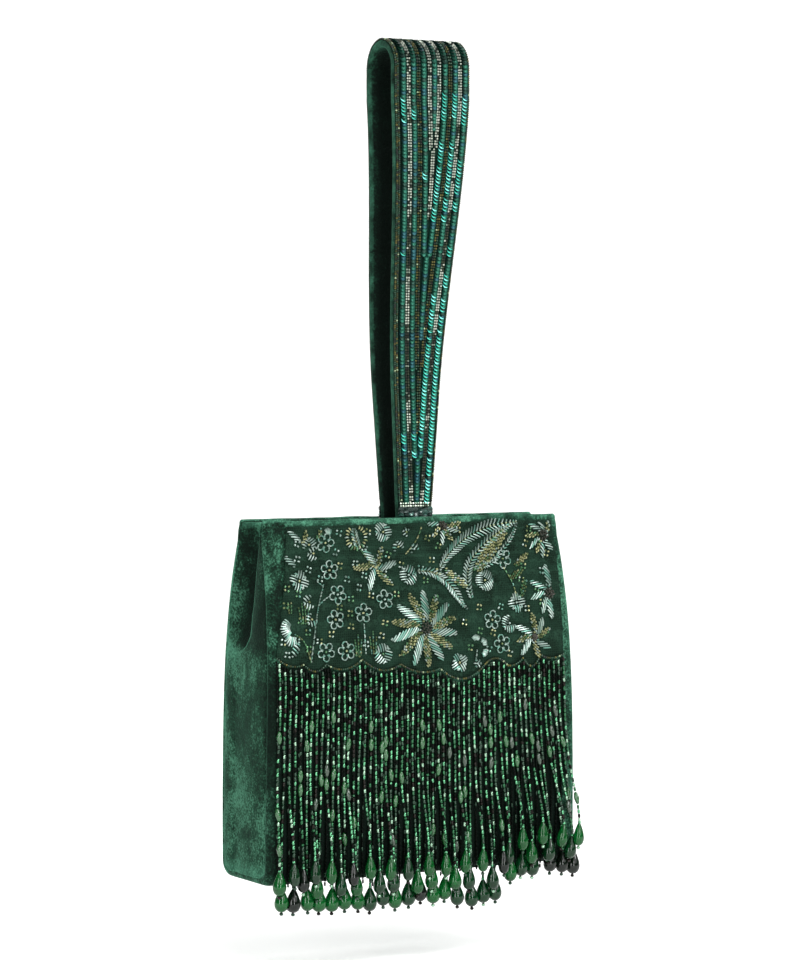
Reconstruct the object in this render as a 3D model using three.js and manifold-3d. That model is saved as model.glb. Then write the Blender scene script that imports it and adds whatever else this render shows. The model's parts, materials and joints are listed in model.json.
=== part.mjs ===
// A small velvet evening bag: two stiffened panels, a base and pleated side gussets,
// hung from one broad beaded loop, with an embroidered front and a bead fringe.
// Millimetres, +Z up, front facing -Y. The origin is the middle of the bag's width,
// on the inner face of the loop's top, where a hand or a hook carries the bag.
import * as THREE from "three";
import { mergeVertices } from "three/addons/utils/BufferGeometryUtils.js";
import Module from "manifold-3d";

const wasm = await Module();
wasm.setup();

// ---- driving dimensions ----
const GAP = 0.3; // clearance between pieces that touch
const BODY_HEIGHT = 198;
const HALF_WIDTH_BASE = 99.6;
const HALF_WIDTH_TOP = 95.2;
const HALF_DEPTH_BASE = 29;
const HALF_DEPTH_MOUTH = 14.5;
const SHOULDER_START = 70; // height where the panels begin to lean in to the mouth
const BOTTOM_RADIUS = 9; // rounded long edges under the bag
const STRAP_DROP = 265; // mouth to the inside of the loop's top

const VELVET = 1.4;
const BOARD = 1.0;
const LINING = 0.7;
const BOARD_AT = VELVET + GAP;
const LINING_AT = BOARD_AT + BOARD + GAP;
const PANEL = LINING_AT + LINING;
const LINER_START = 12; // boards and linings start above the rounded edge
const BOARD_INSET = 3; // boards stop short of the covers' rounded side edges
const BOARD_TOP = 196; // and of the rolled top edge
const BASE_TOP = PANEL + GAP;

const PLEAT_START = 130; // the gusset is flat up to here and folds inwards above
const PLEAT_DEPTH = 20;
const PLEAT_GAP = 0.2; // from the fold line to each half of the gusset

const STRAP_THICKNESS = 4.8;
const STRAP_HALF_WIDTH_MOUTH = 10.8;
const STRAP_HALF_WIDTH_TOP = 24.8;
const STRAP_OFFSET_MOUTH = 3.6; // the loop stands a little right of centre
const STRAP_LEAN = 8; // and leans further right towards its top
const STRAP_WIDEST_AT = 434;
const LOOP_HALF_DEPTH_MOUTH = 8.1;
const LOOP_RADIUS = 13.5;
const ROOT_LENGTH = 64; // flexible length of each strap end above the mouth
const SEWN_LENGTH = 19; // strap end sewn down inside the mouth

const SNAP_HEIGHT = 160;
const SNAP_RADIUS = 7;
const SNAP_THICKNESS = 2.4;
const PLATE_RADIUS = 6.6;

const GROUND = 0.6; // embroidered net on the front
const GROUND_TOP = 194;
const GROUND_LEFT = -88;
const GROUND_RIGHT = 93;
const BEAD_RADIUS = 0.9;
const EDGE_CLEARANCE = 2.6; // the net stops this far above the line of beads that edges it
const PAD = 1.0; // thickness of a raised motif

const FRINGE_GROUPS = 8;
const STRANDS_PER_GROUP = 7;
const FRINGE_LEFT = -90.5;
const FRINGE_PITCH = 23.2;
const STRAND = 1.5;
const HEADER = 2;
const FRINGE_HANG_Y = HALF_DEPTH_BASE + 1.8; // fringe pivots, ahead of the bag's middle
const DROP_HANG_Y = HALF_DEPTH_BASE + 4.2;
const DROP_LENGTH = 15.5;
const DROP_RADIUS = 3.6;
const LOWEST_DROPS = [-13, -17, -16, -16, -17, -19, -7, -7]; // lowest bead tips, by group

// Peaks of the scalloped bead line: x, height above the base, and the sag of the
// line from this peak to the next. A negative sag is an arch.
const SCALLOPS = [
  [-88.5, 124.5, 2.5],
  [-73, 120.5, 3.8],
  [-59, 120, 4],
  [-36.4, 121.7, 4.6],
  [-12, 118, 3.2],
  [13.4, 114.5, 6.3],
  [41.5, 114, -4.5],
  [58, 114, 1.5],
  [68.5, 118, 5.5],
  [79, 119, 2],
  [93, 119, 0],
];

// ---- colours ----
function cloth(color, roughness = 0.9) {
  return new THREE.MeshStandardMaterial({ color, roughness, metalness: 0 });
}
const velvetMaterial = cloth(0x1d5c45);
const liningMaterial = cloth(0x1c4a38, 0.55);
const boardMaterial = cloth(0x8a7f6c, 0.95);
const webbingMaterial = cloth(0x20332b, 0.9);
const netMaterial = cloth(0x163f30, 0.85);
const sequinMaterial = new THREE.MeshStandardMaterial({ color: 0x0f7a68, roughness: 0.25, metalness: 0.6 });
const seedMaterial = new THREE.MeshStandardMaterial({ color: 0x6f7a3c, roughness: 0.3, metalness: 0.5 });
const silverMaterial = new THREE.MeshStandardMaterial({ color: 0xb9c4bc, roughness: 0.3, metalness: 0.8 });
const glassMaterial = new THREE.MeshStandardMaterial({ color: 0x12502a, roughness: 0.12, metalness: 0 });
const steelMaterial = new THREE.MeshStandardMaterial({ color: 0xb4a878, roughness: 0.3, metalness: 1 });

// ---- the bag's own shape, in heights above its base ----
function halfWidth(z) {
  const t = Math.max(z, 0) / BODY_HEIGHT;
  return HALF_WIDTH_BASE - (HALF_WIDTH_BASE - HALF_WIDTH_TOP) * t * t;
}

function shoulder(z) {
  return Math.max(z - SHOULDER_START, 0) / (BODY_HEIGHT - SHOULDER_START);
}

function halfDepth(z) {
  return HALF_DEPTH_BASE - (HALF_DEPTH_BASE - HALF_DEPTH_MOUTH) * shoulder(z) ** 3;
}

function panelSlope(z) {
  const leanIn = HALF_DEPTH_BASE - HALF_DEPTH_MOUTH;
  return (-3 * leanIn * shoulder(z) ** 2) / (BODY_HEIGHT - SHOULDER_START);
}

function innerHalfDepth(z) {
  return halfDepth(z) - PANEL * Math.hypot(1, panelSlope(z)) - GAP;
}

function pleatDepth(z) {
  return (PLEAT_DEPTH * Math.max(z - PLEAT_START, 0)) / (BODY_HEIGHT - PLEAT_START);
}

function strapHalfWidth(z) {
  const t = THREE.MathUtils.clamp((z - BODY_HEIGHT) / (STRAP_WIDEST_AT - BODY_HEIGHT), 0, 1);
  return THREE.MathUtils.lerp(STRAP_HALF_WIDTH_MOUTH, STRAP_HALF_WIDTH_TOP, t);
}

function strapCentre(z) {
  return STRAP_OFFSET_MOUTH + STRAP_LEAN * THREE.MathUtils.smoothstep(z, 270, STRAP_WIDEST_AT);
}

function scallop(x) {
  let i = 0;
  while (i < SCALLOPS.length - 2 && x > SCALLOPS[i + 1][0]) i++;
  const [x0, z0, sag] = SCALLOPS[i];
  const [x1, z1] = SCALLOPS[i + 1];
  const t = THREE.MathUtils.clamp((x - x0) / (x1 - x0), 0, 1);
  return THREE.MathUtils.lerp(z0, z1, t) - 4 * sag * t * (1 - t);
}

// ---- solids ----
// A closed sheet between two matching grids of points, rows by columns.
function slab(faceGrid, backGrid) {
  const rows = faceGrid.length;
  const cols = faceGrid[0].length;
  const points = [...faceGrid.flat(), ...backGrid.flat()];
  const at = (side, r, c) => side * rows * cols + r * cols + c;
  const index = [];
  const quad = (a, b, c, d) => index.push(a, b, c, a, c, d);
  for (let r = 0; r < rows - 1; r++) {
    for (let c = 0; c < cols - 1; c++) {
      quad(at(0, r, c), at(0, r, c + 1), at(0, r + 1, c + 1), at(0, r + 1, c));
      quad(at(1, r, c), at(1, r + 1, c), at(1, r + 1, c + 1), at(1, r, c + 1));
    }
  }
  for (let r = 0; r < rows - 1; r++) {
    quad(at(0, r, 0), at(0, r + 1, 0), at(1, r + 1, 0), at(1, r, 0));
    quad(at(0, r + 1, cols - 1), at(0, r, cols - 1), at(1, r, cols - 1), at(1, r + 1, cols - 1));
  }
  for (let c = 0; c < cols - 1; c++) {
    quad(at(0, 0, c + 1), at(0, 0, c), at(1, 0, c), at(1, 0, c + 1));
    quad(at(0, rows - 1, c), at(0, rows - 1, c + 1), at(1, rows - 1, c + 1), at(1, rows - 1, c));
  }
  const geometry = new THREE.BufferGeometry().setFromPoints(points);
  geometry.setIndex(signedVolume(points, index) > 0 ? index : index.reverse());
  geometry.computeVertexNormals();
  return geometry;
}

function signedVolume(points, index) {
  let sum = 0;
  for (let i = 0; i < index.length; i += 3) {
    const [a, b, c] = [points[index[i]], points[index[i + 1]], points[index[i + 2]]];
    sum += a.dot(new THREE.Vector3().crossVectors(b, c));
  }
  return sum / 6;
}

function toSolid(geometry) {
  const bare = geometry.clone();
  bare.deleteAttribute("normal");
  bare.deleteAttribute("uv");
  const merged = mergeVertices(bare);
  const vertProperties = new Float32Array(merged.attributes.position.array);
  const triVerts = new Uint32Array(merged.index.array);
  return new wasm.Manifold(new wasm.Mesh({ numProp: 3, vertProperties, triVerts }));
}

function fromSolid(solid) {
  const mesh = solid.getMesh();
  const geometry = new THREE.BufferGeometry();
  geometry.setAttribute("position", new THREE.BufferAttribute(mesh.vertProperties, 3));
  geometry.setIndex(new THREE.BufferAttribute(mesh.triVerts, 1));
  geometry.computeVertexNormals();
  return geometry;
}

// ---- the scene ----
const model = new THREE.Group();
const bag = new THREE.Group();
bag.position.z = -(BODY_HEIGHT + STRAP_DROP);
model.add(bag);

function add(name, geometry, material) {
  const mesh = new THREE.Mesh(geometry, material);
  mesh.name = name;
  bag.add(mesh);
  return mesh;
}

// ---- front and back panels ----
const PANEL_HEIGHTS = [12, 40, 70, 100, 120, 137, 152, 164, 175, 184, 192, 198];

// The outer face from the bottom edge up: half depth, height and outward normal.
function panelStations(start, top) {
  const stations = [];
  if (start === 0) {
    for (let k = 0; k <= 4; k++) {
      const a = (k / 4) * (Math.PI / 2);
      const y = HALF_DEPTH_BASE - BOTTOM_RADIUS * (1 - Math.sin(a));
      stations.push({ y, z: BOTTOM_RADIUS * (1 - Math.cos(a)), ny: Math.sin(a), nz: -Math.cos(a) });
    }
  }
  for (const height of PANEL_HEIGHTS) {
    const z = Math.min(height, top);
    const length = Math.hypot(1, panelSlope(z));
    stations.push({ y: halfDepth(z), z, ny: 1 / length, nz: -panelSlope(z) / length });
  }
  return stations;
}

function panelGrid(side, depth, { start, top, inset }) {
  return panelStations(start, top).map(({ y, z, ny, nz }) =>
    [-1, 0, 1].map(
      (s) => new THREE.Vector3(s * (halfWidth(z) - inset), side * (y - ny * depth), z - nz * depth),
    ),
  );
}

function panelLayer(side, depth, thickness, { start = LINER_START, top = BODY_HEIGHT, inset = 0 } = {}) {
  const extent = { start, top, inset };
  return slab(panelGrid(side, depth, extent), panelGrid(side, depth + thickness, extent));
}

// A disc lying in a panel's thickness or on its inner face.
function disc(side, radius, depth, thickness) {
  const geometry = new THREE.CylinderGeometry(radius, radius, thickness, 32);
  const slope = Math.atan(panelSlope(SNAP_HEIGHT));
  geometry.rotateX(-side * slope);
  const middle = depth + thickness / 2;
  const y = halfDepth(SNAP_HEIGHT) - middle * Math.cos(slope);
  geometry.translate(0, side * y, SNAP_HEIGHT + middle * Math.sin(slope));
  return geometry;
}

for (const [place, side, snap] of [["front", -1, "socket"], ["back", 1, "stud"]]) {
  add(place + "_velvet", panelLayer(side, 0, VELVET, { start: 0 }), velvetMaterial);
  const board = toSolid(panelLayer(side, BOARD_AT, BOARD, { top: BOARD_TOP, inset: BOARD_INSET }));
  const hole = toSolid(disc(side, PLATE_RADIUS + GAP, BOARD_AT - GAP, BOARD + 2 * GAP));
  add(place + "_board", fromSolid(board.subtract(hole)), boardMaterial);
  add("snap_" + snap + "_plate", disc(side, PLATE_RADIUS, BOARD_AT + 0.1, BOARD - 0.2), steelMaterial);
  add(place + "_lining", panelLayer(side, LINING_AT, LINING), liningMaterial);
  add("snap_" + snap, disc(side, SNAP_RADIUS, PANEL + GAP, SNAP_THICKNESS), steelMaterial);
}

// ---- base ----
function baseLayer(name, halfX, halfY, low, thickness, material) {
  const geometry = new THREE.BoxGeometry(2 * halfX, 2 * halfY, thickness);
  add(name, geometry, material).position.z = low + thickness / 2;
}
const baseHalfY = HALF_DEPTH_BASE - BOTTOM_RADIUS - GAP / 2;
baseLayer("base_velvet", HALF_WIDTH_BASE, baseHalfY, 0, VELVET, velvetMaterial);
baseLayer("base_board", HALF_WIDTH_BASE - BOARD_INSET, baseHalfY - GAP, BOARD_AT, BOARD, boardMaterial);
baseLayer("base_lining", HALF_WIDTH_BASE - BOARD_INSET, baseHalfY - GAP, LINING_AT, LINING, liningMaterial);

// ---- gussets: each side folds inwards along its middle, so it has two halves ----
const GUSSET_HEIGHTS = [BASE_TOP, 45, 90, PLEAT_START, 147, 164, 181, 197.5];

function gussetGrid(sideX, sideY, depth) {
  return GUSSET_HEIGHTS.map((z) => {
    const x = halfWidth(z) - depth;
    return [
      new THREE.Vector3(sideX * x, sideY * innerHalfDepth(z), z),
      new THREE.Vector3(sideX * (x - pleatDepth(z)), sideY * PLEAT_GAP, z),
    ];
  });
}

function gussetLayer(sideX, sideY, depth, thickness) {
  return slab(gussetGrid(sideX, sideY, depth), gussetGrid(sideX, sideY, depth + thickness));
}

for (const [hand, sideX] of [["left", -1], ["right", 1]]) {
  for (const [place, sideY] of [["front", -1], ["back", 1]]) {
    add(`${hand}_gusset_${place}`, gussetLayer(sideX, sideY, 0, VELVET), velvetMaterial);
    const lining = gussetLayer(sideX, sideY, VELVET + GAP, LINING);
    add(`${hand}_gusset_lining_${place}`, lining, liningMaterial);
  }
}

// ---- the loop: face, webbing and velvet backing, bent over from front to back ----
const ARCH_HEIGHT = BODY_HEIGHT + STRAP_DROP + STRAP_THICKNESS / 2 - LOOP_RADIUS;
const ROOT_TOP = BODY_HEIGHT + ROOT_LENGTH;

function loopHalfDepth(z) {
  if (z < BODY_HEIGHT) return innerHalfDepth(z) - STRAP_THICKNESS / 2;
  const t = Math.min((z - BODY_HEIGHT) / (ARCH_HEIGHT - BODY_HEIGHT), 1);
  const spread = LOOP_RADIUS - LOOP_HALF_DEPTH_MOUTH;
  return LOOP_HALF_DEPTH_MOUTH + spread * Math.sin((t * Math.PI) / 2);
}

// Points up the front, over the top and down the back, each with its outward normal.
function loopStations() {
  const rise = [];
  const steps = 7;
  for (let k = 0; k < steps; k++) {
    const z = THREE.MathUtils.lerp(ROOT_TOP + GAP, ARCH_HEIGHT, k / steps);
    rise.push({ y: -loopHalfDepth(z), z, ny: -1, nz: 0 });
  }
  const arch = [];
  const turns = 14;
  for (let k = 0; k <= turns; k++) {
    const a = (k / turns) * Math.PI;
    const [ny, nz] = [-Math.cos(a), Math.sin(a)];
    arch.push({ y: ny * LOOP_RADIUS, z: ARCH_HEIGHT + nz * LOOP_RADIUS, ny, nz });
  }
  const fall = rise.map((p) => ({ ...p, y: -p.y, ny: 1 })).reverse();
  return [...rise, ...arch, ...fall];
}

function strapGrid(stations, offset, edges) {
  return stations.map(({ y, z, ny, nz }) =>
    edges(z).map((x) => new THREE.Vector3(x, y + ny * offset, z + nz * offset)),
  );
}

function strapLayer(stations, low, high, edges) {
  return slab(strapGrid(stations, high, edges), strapGrid(stations, low, edges));
}

function acrossStrap(inset) {
  return (z) => [-1, 1].map((s) => strapCentre(z) + s * (strapHalfWidth(z) - inset));
}

function alongEdge(side, width) {
  return (z) => [0, width].map((w) => strapCentre(z) + side * (strapHalfWidth(z) - w));
}

const STRAP_SIDE = STRAP_THICKNESS / 2;
const loop = loopStations();
add("strap_velvet", strapLayer(loop, -STRAP_SIDE, -0.9, acrossStrap(0)), velvetMaterial);
add("strap_webbing", strapLayer(loop, -0.6, 0.6, acrossStrap(1)), webbingMaterial);
add("strap_face", strapLayer(loop, 0.9, STRAP_SIDE, acrossStrap(0)), netMaterial);
const beadLow = STRAP_SIDE + GAP;
add("strap_sequins", strapLayer(loop, beadLow, beadLow + 0.7, acrossStrap(2.2)), sequinMaterial);
add("strap_edge_beads_left", strapLayer(loop, beadLow, beadLow + 1.2, alongEdge(-1, 1.5)), seedMaterial);
add("strap_edge_beads_right", strapLayer(loop, beadLow, beadLow + 1.2, alongEdge(1, 1.5)), seedMaterial);

// Each end of the strap: soft above the mouth, sewn down inside it.
function rootStations(side) {
  const stations = [];
  for (const z of [BODY_HEIGHT - SEWN_LENGTH, 188, BODY_HEIGHT, 212, 226, 244, ROOT_TOP]) {
    stations.push({ y: side * loopHalfDepth(z), z, ny: side, nz: 0 });
  }
  return stations;
}
for (const [place, side] of [["front", -1], ["back", 1]]) {
  const root = strapLayer(rootStations(side), -STRAP_SIDE, STRAP_SIDE, acrossStrap(0));
  add("strap_root_" + place, root, velvetMaterial);
}

// ---- embroidery on the front ----
function frontPoint(x, z, out) {
  return new THREE.Vector3(x, -(halfDepth(z) + out), z);
}

function groundGrid(out) {
  const rows = [0, 0.25, 0.5, 0.75, 1];
  const columns = 40;
  return rows.map((r) => {
    const line = [];
    for (let c = 0; c <= columns; c++) {
      const x = THREE.MathUtils.lerp(GROUND_LEFT, GROUND_RIGHT, c / columns);
      const low = scallop(x) + EDGE_CLEARANCE;
      line.push(frontPoint(x, THREE.MathUtils.lerp(low, GROUND_TOP, r), out));
    }
    return line;
  });
}
const GROUND_AT = 0.5; // stands clear of the panel's facets
add("embroidery_ground", slab(groundGrid(GROUND_AT + GROUND), groundGrid(GROUND_AT)), netMaterial);

function beadLine() {
  const points = [];
  const steps = 72;
  for (let k = 0; k <= steps; k++) {
    const x = THREE.MathUtils.lerp(GROUND_LEFT, GROUND_RIGHT, k / steps);
    points.push(frontPoint(x, scallop(x), GAP + BEAD_RADIUS));
  }
  const corners = [0, 1, 2, 3, 4, 5].map((k) => (k * Math.PI) / 3);
  const hexagon = corners.map((a) => new THREE.Vector2(BEAD_RADIUS * Math.cos(a), BEAD_RADIUS * Math.sin(a)));
  const section = new THREE.Shape(hexagon);
  const extrudePath = new THREE.CatmullRomCurve3(points);
  return new THREE.ExtrudeGeometry(section, { extrudePath, steps, bevelEnabled: false });
}
add("scallop_bead_line", beadLine(), seedMaterial);

// A flat outline in x and height, laid on the front panel as a low pad.
function motif(name, outline, material) {
  const geometry = new THREE.ExtrudeGeometry(outline, { depth: PAD, bevelEnabled: false, curveSegments: 8 });
  geometry.rotateX(Math.PI / 2);
  const position = geometry.attributes.position;
  const out = GROUND_AT + GROUND + 0.6;
  for (let i = 0; i < position.count; i++) {
    const z = position.getZ(i);
    position.setY(i, position.getY(i) - halfDepth(z) - out);
  }
  geometry.computeVertexNormals();
  add(name, geometry, material);
}

function petals(x, z, count, radius, turn = 0) {
  const outline = new THREE.Shape();
  const polar = (r, a) => [x + r * Math.cos(a), z + r * Math.sin(a)];
  for (let k = 0; k < count; k++) {
    const a = turn + (k / count) * 2 * Math.PI;
    const half = Math.PI / count;
    if (k === 0) outline.moveTo(...polar(radius * 0.32, a - half));
    else outline.lineTo(...polar(radius * 0.32, a - half));
    outline.lineTo(...polar(radius * 0.68, a - half * 0.55));
    outline.lineTo(...polar(radius, a));
    outline.lineTo(...polar(radius * 0.68, a + half * 0.55));
  }
  outline.closePath();
  return outline;
}

function leaf(x0, z0, x1, z1, width) {
  const across = new THREE.Vector2(z0 - z1, x1 - x0).normalize().multiplyScalar(width);
  const [mx, mz] = [(x0 + x1) / 2, (z0 + z1) / 2];
  const outline = new THREE.Shape();
  outline.moveTo(x0, z0);
  outline.quadraticCurveTo(mx + across.x, mz + across.y, x1, z1);
  outline.quadraticCurveTo(mx - across.x, mz - across.y, x0, z0);
  return outline;
}

motif("large_flower", petals(5.3, 137, 12, 18), silverMaterial);
motif("feather_leaf_upper", leaf(32, 160, 67, 190, 15), silverMaterial);
motif("feather_leaf_lower", leaf(3, 169, 32, 147, 7), silverMaterial);
motif("five_petal_flower", petals(-23, 171.5, 5, 10.5, 0.3), silverMaterial);
motif("corner_flower", petals(83.5, 183.5, 7, 8.5, 0.2), silverMaterial);
motif("side_flower", petals(83.5, 156, 7, 9.5), silverMaterial);
motif("low_flower", petals(72, 134, 9, 12), silverMaterial);
motif("left_blossom", petals(-80, 140, 5, 6.5), silverMaterial);

// ---- fringe: strands of beads in groups, each group swinging from its header ----
function box(x0, y0, z0, x1, y1, z1) {
  const geometry = new THREE.BoxGeometry(x1 - x0, y1 - y0, z1 - z0);
  geometry.translate((x0 + x1) / 2, (y0 + y1) / 2, (z0 + z1) / 2);
  return geometry;
}

function strand(x0, z0, x1, z1) {
  const ring = (x, y, z) =>
    [-1, 1].map((s) => new THREE.Vector3(x + (s * STRAND) / 2, y, z));
  const top = [x0, z0];
  const end = [x1, z1];
  const grid = (dy) => [
    ring(top[0], -FRINGE_HANG_Y + dy, top[1]),
    ring(end[0], -DROP_HANG_Y + dy, end[1]),
  ];
  return slab(grid(-STRAND / 2), grid(STRAND / 2));
}

function drop(x, tip) {
  const profile = [
    [0, 0],
    [DROP_RADIUS * 0.8, 3.4],
    [DROP_RADIUS, 6.4],
    [0, DROP_LENGTH],
  ].map(([r, h]) => new THREE.Vector2(r, h));
  const geometry = new THREE.LatheGeometry(profile, 6);
  geometry.rotateX(Math.PI / 2);
  geometry.translate(x, -DROP_HANG_Y, tip);
  return geometry;
}

// Three lengths of strand, so that their drops hang in rows one above another.
const STRAND_PLAN = [
  { drop: -7.8, row: 1 },
  { drop: -7.75, row: 0 },
  { drop: -3.9, row: 2 },
  { drop: 0, row: 0 },
  { drop: 3.9, row: 1 },
  { drop: 7.75, row: 0 },
  { drop: 7.8, row: 2 },
];
const ROW_HEIGHT = 16;

function headerHeight(group) {
  const x0 = FRINGE_LEFT + group * FRINGE_PITCH;
  let lowest = Infinity;
  for (let k = 0; k <= 20; k++) lowest = Math.min(lowest, scallop(x0 + (k / 20) * FRINGE_PITCH));
  return Math.floor(lowest) - 3;
}

function fringeGroup(group) {
  const x0 = FRINGE_LEFT + group * FRINGE_PITCH;
  const middle = x0 + FRINGE_PITCH / 2;
  const top = headerHeight(group);
  const bar = box(
    x0 + GAP, -FRINGE_HANG_Y - HEADER / 2, top - HEADER / 2,
    x0 + FRINGE_PITCH - GAP, -FRINGE_HANG_Y + HEADER / 2, top + HEADER / 2,
  );
  let solid = toSolid(bar);
  const pitch = (FRINGE_PITCH - 2 * STRAND) / (STRANDS_PER_GROUP - 1);
  STRAND_PLAN.forEach((plan, i) => {
    const tip = LOWEST_DROPS[group] + plan.row * ROW_HEIGHT;
    const x = middle + (i - (STRANDS_PER_GROUP - 1) / 2) * pitch;
    const end = tip + DROP_LENGTH - 1;
    solid = solid.add(toSolid(strand(x, top, middle + plan.drop, end)));
    solid = solid.add(toSolid(drop(middle + plan.drop, tip)));
  });
  return fromSolid(solid);
}

for (let group = 0; group < FRINGE_GROUPS; group++) {
  add("fringe_" + (group + 1), fringeGroup(group), glassMaterial);
}

export default model;
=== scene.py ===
"""A velvet evening bag with a sequinned loop, an embroidered front and a bead fringe.

Shapes are worked out in millimetres, with heights measured up from the bag's base,
and placed in the frame's metres. The front faces -Y.
"""

import json
import math
import random

import bpy
import numpy as np
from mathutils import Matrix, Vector, noise


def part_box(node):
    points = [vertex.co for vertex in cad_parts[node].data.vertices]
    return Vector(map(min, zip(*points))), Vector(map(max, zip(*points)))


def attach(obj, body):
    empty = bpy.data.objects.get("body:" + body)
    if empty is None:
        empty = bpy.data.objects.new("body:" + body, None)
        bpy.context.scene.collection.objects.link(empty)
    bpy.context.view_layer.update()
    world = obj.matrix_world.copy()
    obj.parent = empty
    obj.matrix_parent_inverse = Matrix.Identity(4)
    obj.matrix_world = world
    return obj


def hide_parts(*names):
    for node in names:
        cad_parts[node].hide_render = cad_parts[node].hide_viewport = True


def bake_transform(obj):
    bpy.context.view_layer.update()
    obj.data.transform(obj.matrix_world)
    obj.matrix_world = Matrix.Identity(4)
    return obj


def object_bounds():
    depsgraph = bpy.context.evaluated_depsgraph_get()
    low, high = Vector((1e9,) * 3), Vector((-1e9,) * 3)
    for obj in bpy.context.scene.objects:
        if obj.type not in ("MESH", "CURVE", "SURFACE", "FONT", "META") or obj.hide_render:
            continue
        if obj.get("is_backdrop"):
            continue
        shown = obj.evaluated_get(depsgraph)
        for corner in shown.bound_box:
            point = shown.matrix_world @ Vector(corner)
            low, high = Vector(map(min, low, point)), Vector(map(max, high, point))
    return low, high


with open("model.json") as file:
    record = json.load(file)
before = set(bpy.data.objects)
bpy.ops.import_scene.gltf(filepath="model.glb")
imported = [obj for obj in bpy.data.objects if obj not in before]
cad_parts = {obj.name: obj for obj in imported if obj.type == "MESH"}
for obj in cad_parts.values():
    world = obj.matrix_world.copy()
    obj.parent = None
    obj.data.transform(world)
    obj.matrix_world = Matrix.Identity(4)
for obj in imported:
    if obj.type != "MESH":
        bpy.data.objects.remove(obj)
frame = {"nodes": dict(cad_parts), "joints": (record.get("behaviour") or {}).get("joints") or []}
CAD_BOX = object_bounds()
MM = 0.001

# ---- sizes that come from the frame ----
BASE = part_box("base_velvet")[0][2]
BODY_HEIGHT = (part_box("front_velvet")[1][2] - BASE) / MM
HALF_WIDTH_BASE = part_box("base_velvet")[1][0] / MM
HALF_DEPTH_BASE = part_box("back_velvet")[1][1] / MM
LOOP_TOP = (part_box("strap_face")[1][2] - BASE) / MM
LOOP_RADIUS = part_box("strap_webbing")[1][1] / MM - 0.6
ROOT_BOTTOM = (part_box("strap_root_front")[0][2] - BASE) / MM
PIVOTS = {j["child"]: (j["pos_m"][2] - BASE) / MM for j in frame["joints"]}

# ---- the rest of the pattern ----
HALF_WIDTH_TOP = 95.2
HALF_DEPTH_MOUTH = 14.5
SHOULDER_START = 70  # the panels lean towards each other above this height
BOTTOM_RADIUS = 9
BULGE = 0.8
STRAP_HALF_MOUTH = 10.8
STRAP_HALF_TOP = 24.8
STRAP_WIDEST_AT = 434
STRAP_OFFSET = 3.6
STRAP_LEAN = 8
STRAP_HALF_THICK = 2.4
SOFT_SPLIT = 226  # the strap is made as its loop above this height, and its two ends below
GROUND_LEFT = -94.5
GROUND_LEFT_TOP = -81.5
GROUND_RIGHT = 90.8
GROUND_TOP = 196.2
GROUND_FOOT = 122
# Where scallops meet along the net's lower edge: x, height and sag of the scallop that starts there.
SCALLOPS = [
    (-94.5, 125.5, 2.5), (-78, 121.5, 3.8), (-64, 121, 4), (-41.4, 122.7, 4.6),
    (-17, 119, 3.2), (8.4, 115.5, 6.3), (36.5, 115, -4.5), (53, 115, 1.5),
    (63.5, 119, 5.5), (75, 120, 2), (90.8, 120, 0),
]


def lerp(a, b, t):
    return a + (b - a) * t


def clamp(t, low=0.0, high=1.0):
    return max(low, min(high, t))


def smooth(t):
    t = clamp(t)
    return t * t * (3 - 2 * t)


def at(x, y, z):
    """A point of the bag, in the frame's metres."""
    return Vector((x * MM, y * MM, BASE + z * MM))


def half_width(z):
    t = max(z, 0) / BODY_HEIGHT
    return HALF_WIDTH_BASE - (HALF_WIDTH_BASE - HALF_WIDTH_TOP) * t * t


def cad_half_depth(z):
    """Half depth of the CAD panels' outer faces."""
    t = max(z - SHOULDER_START, 0) / (BODY_HEIGHT - SHOULDER_START)
    return HALF_DEPTH_BASE - (HALF_DEPTH_BASE - HALF_DEPTH_MOUTH) * t**3


def half_depth(z):
    """The same for the covers, which swell a little over their boards."""
    return cad_half_depth(z) + BULGE * math.sin(math.pi * clamp(z / BODY_HEIGHT))


def slope_of(depth, z):
    return depth(z + 0.5) - depth(z - 0.5)


def scallop(x):
    """Height of the net's scalloped lower edge."""
    i = 0
    while i < len(SCALLOPS) - 2 and x > SCALLOPS[i + 1][0]:
        i += 1
    x0, z0, sag = SCALLOPS[i]
    x1, z1, _ = SCALLOPS[i + 1]
    t = clamp((x - x0) / (x1 - x0))
    return lerp(z0, z1, t) - 4 * sag * t * (1 - t)


def ground_left(z):
    """Left edge of the embroidered net, which narrows towards the mouth."""
    return lerp(GROUND_LEFT, GROUND_LEFT_TOP, clamp((z - GROUND_FOOT) / (GROUND_TOP - GROUND_FOOT)))


def ripple(x, z, seed, size):
    """Soft unevenness of cloth, from -1 to 1."""
    return noise.noise(Vector((x / size, z / size, seed * 7.3)))


def grid_of(point, along, across):
    """A grid of points, point(v, u) for each v along and each u across."""
    return [[point(v, u) for u in across] for v in along]


# ---- gathering small solids into one mesh ----
def ring_solid(rings, closed=False, flip=False):
    """Points and faces of a solid from rings of points, capped, or closed on itself like a tyre."""
    rows, sides = len(rings), len(rings[0])
    quads, caps = [], []
    for i in range(rows if closed else rows - 1):
        for k in range(sides):
            j, n = (i + 1) % rows, (k + 1) % sides
            quads.append((i * sides + k, i * sides + n, j * sides + n, j * sides + k))
    if not closed:
        caps = [tuple(range(sides))[::-1], tuple(range((rows - 1) * sides, rows * sides))]
    if flip:
        quads, caps = [(a, d, c, b) for a, b, c, d in quads], [cap[::-1] for cap in caps]
    return pack_solid([p for ring in rings for p in ring], quads + caps)


def circle(sides):
    """(cosine, sine) of that many angles round a circle."""
    return [(math.cos(2 * math.pi * k / sides), math.sin(2 * math.pi * k / sides)) for k in range(sides)]


def lathe(profile, sides, closed=False):
    """A solid of revolution about Z from (radius, height) pairs."""
    return ring_solid([[(r * c, r * s, h) for c, s in circle(sides)] for r, h in profile], closed)


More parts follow.
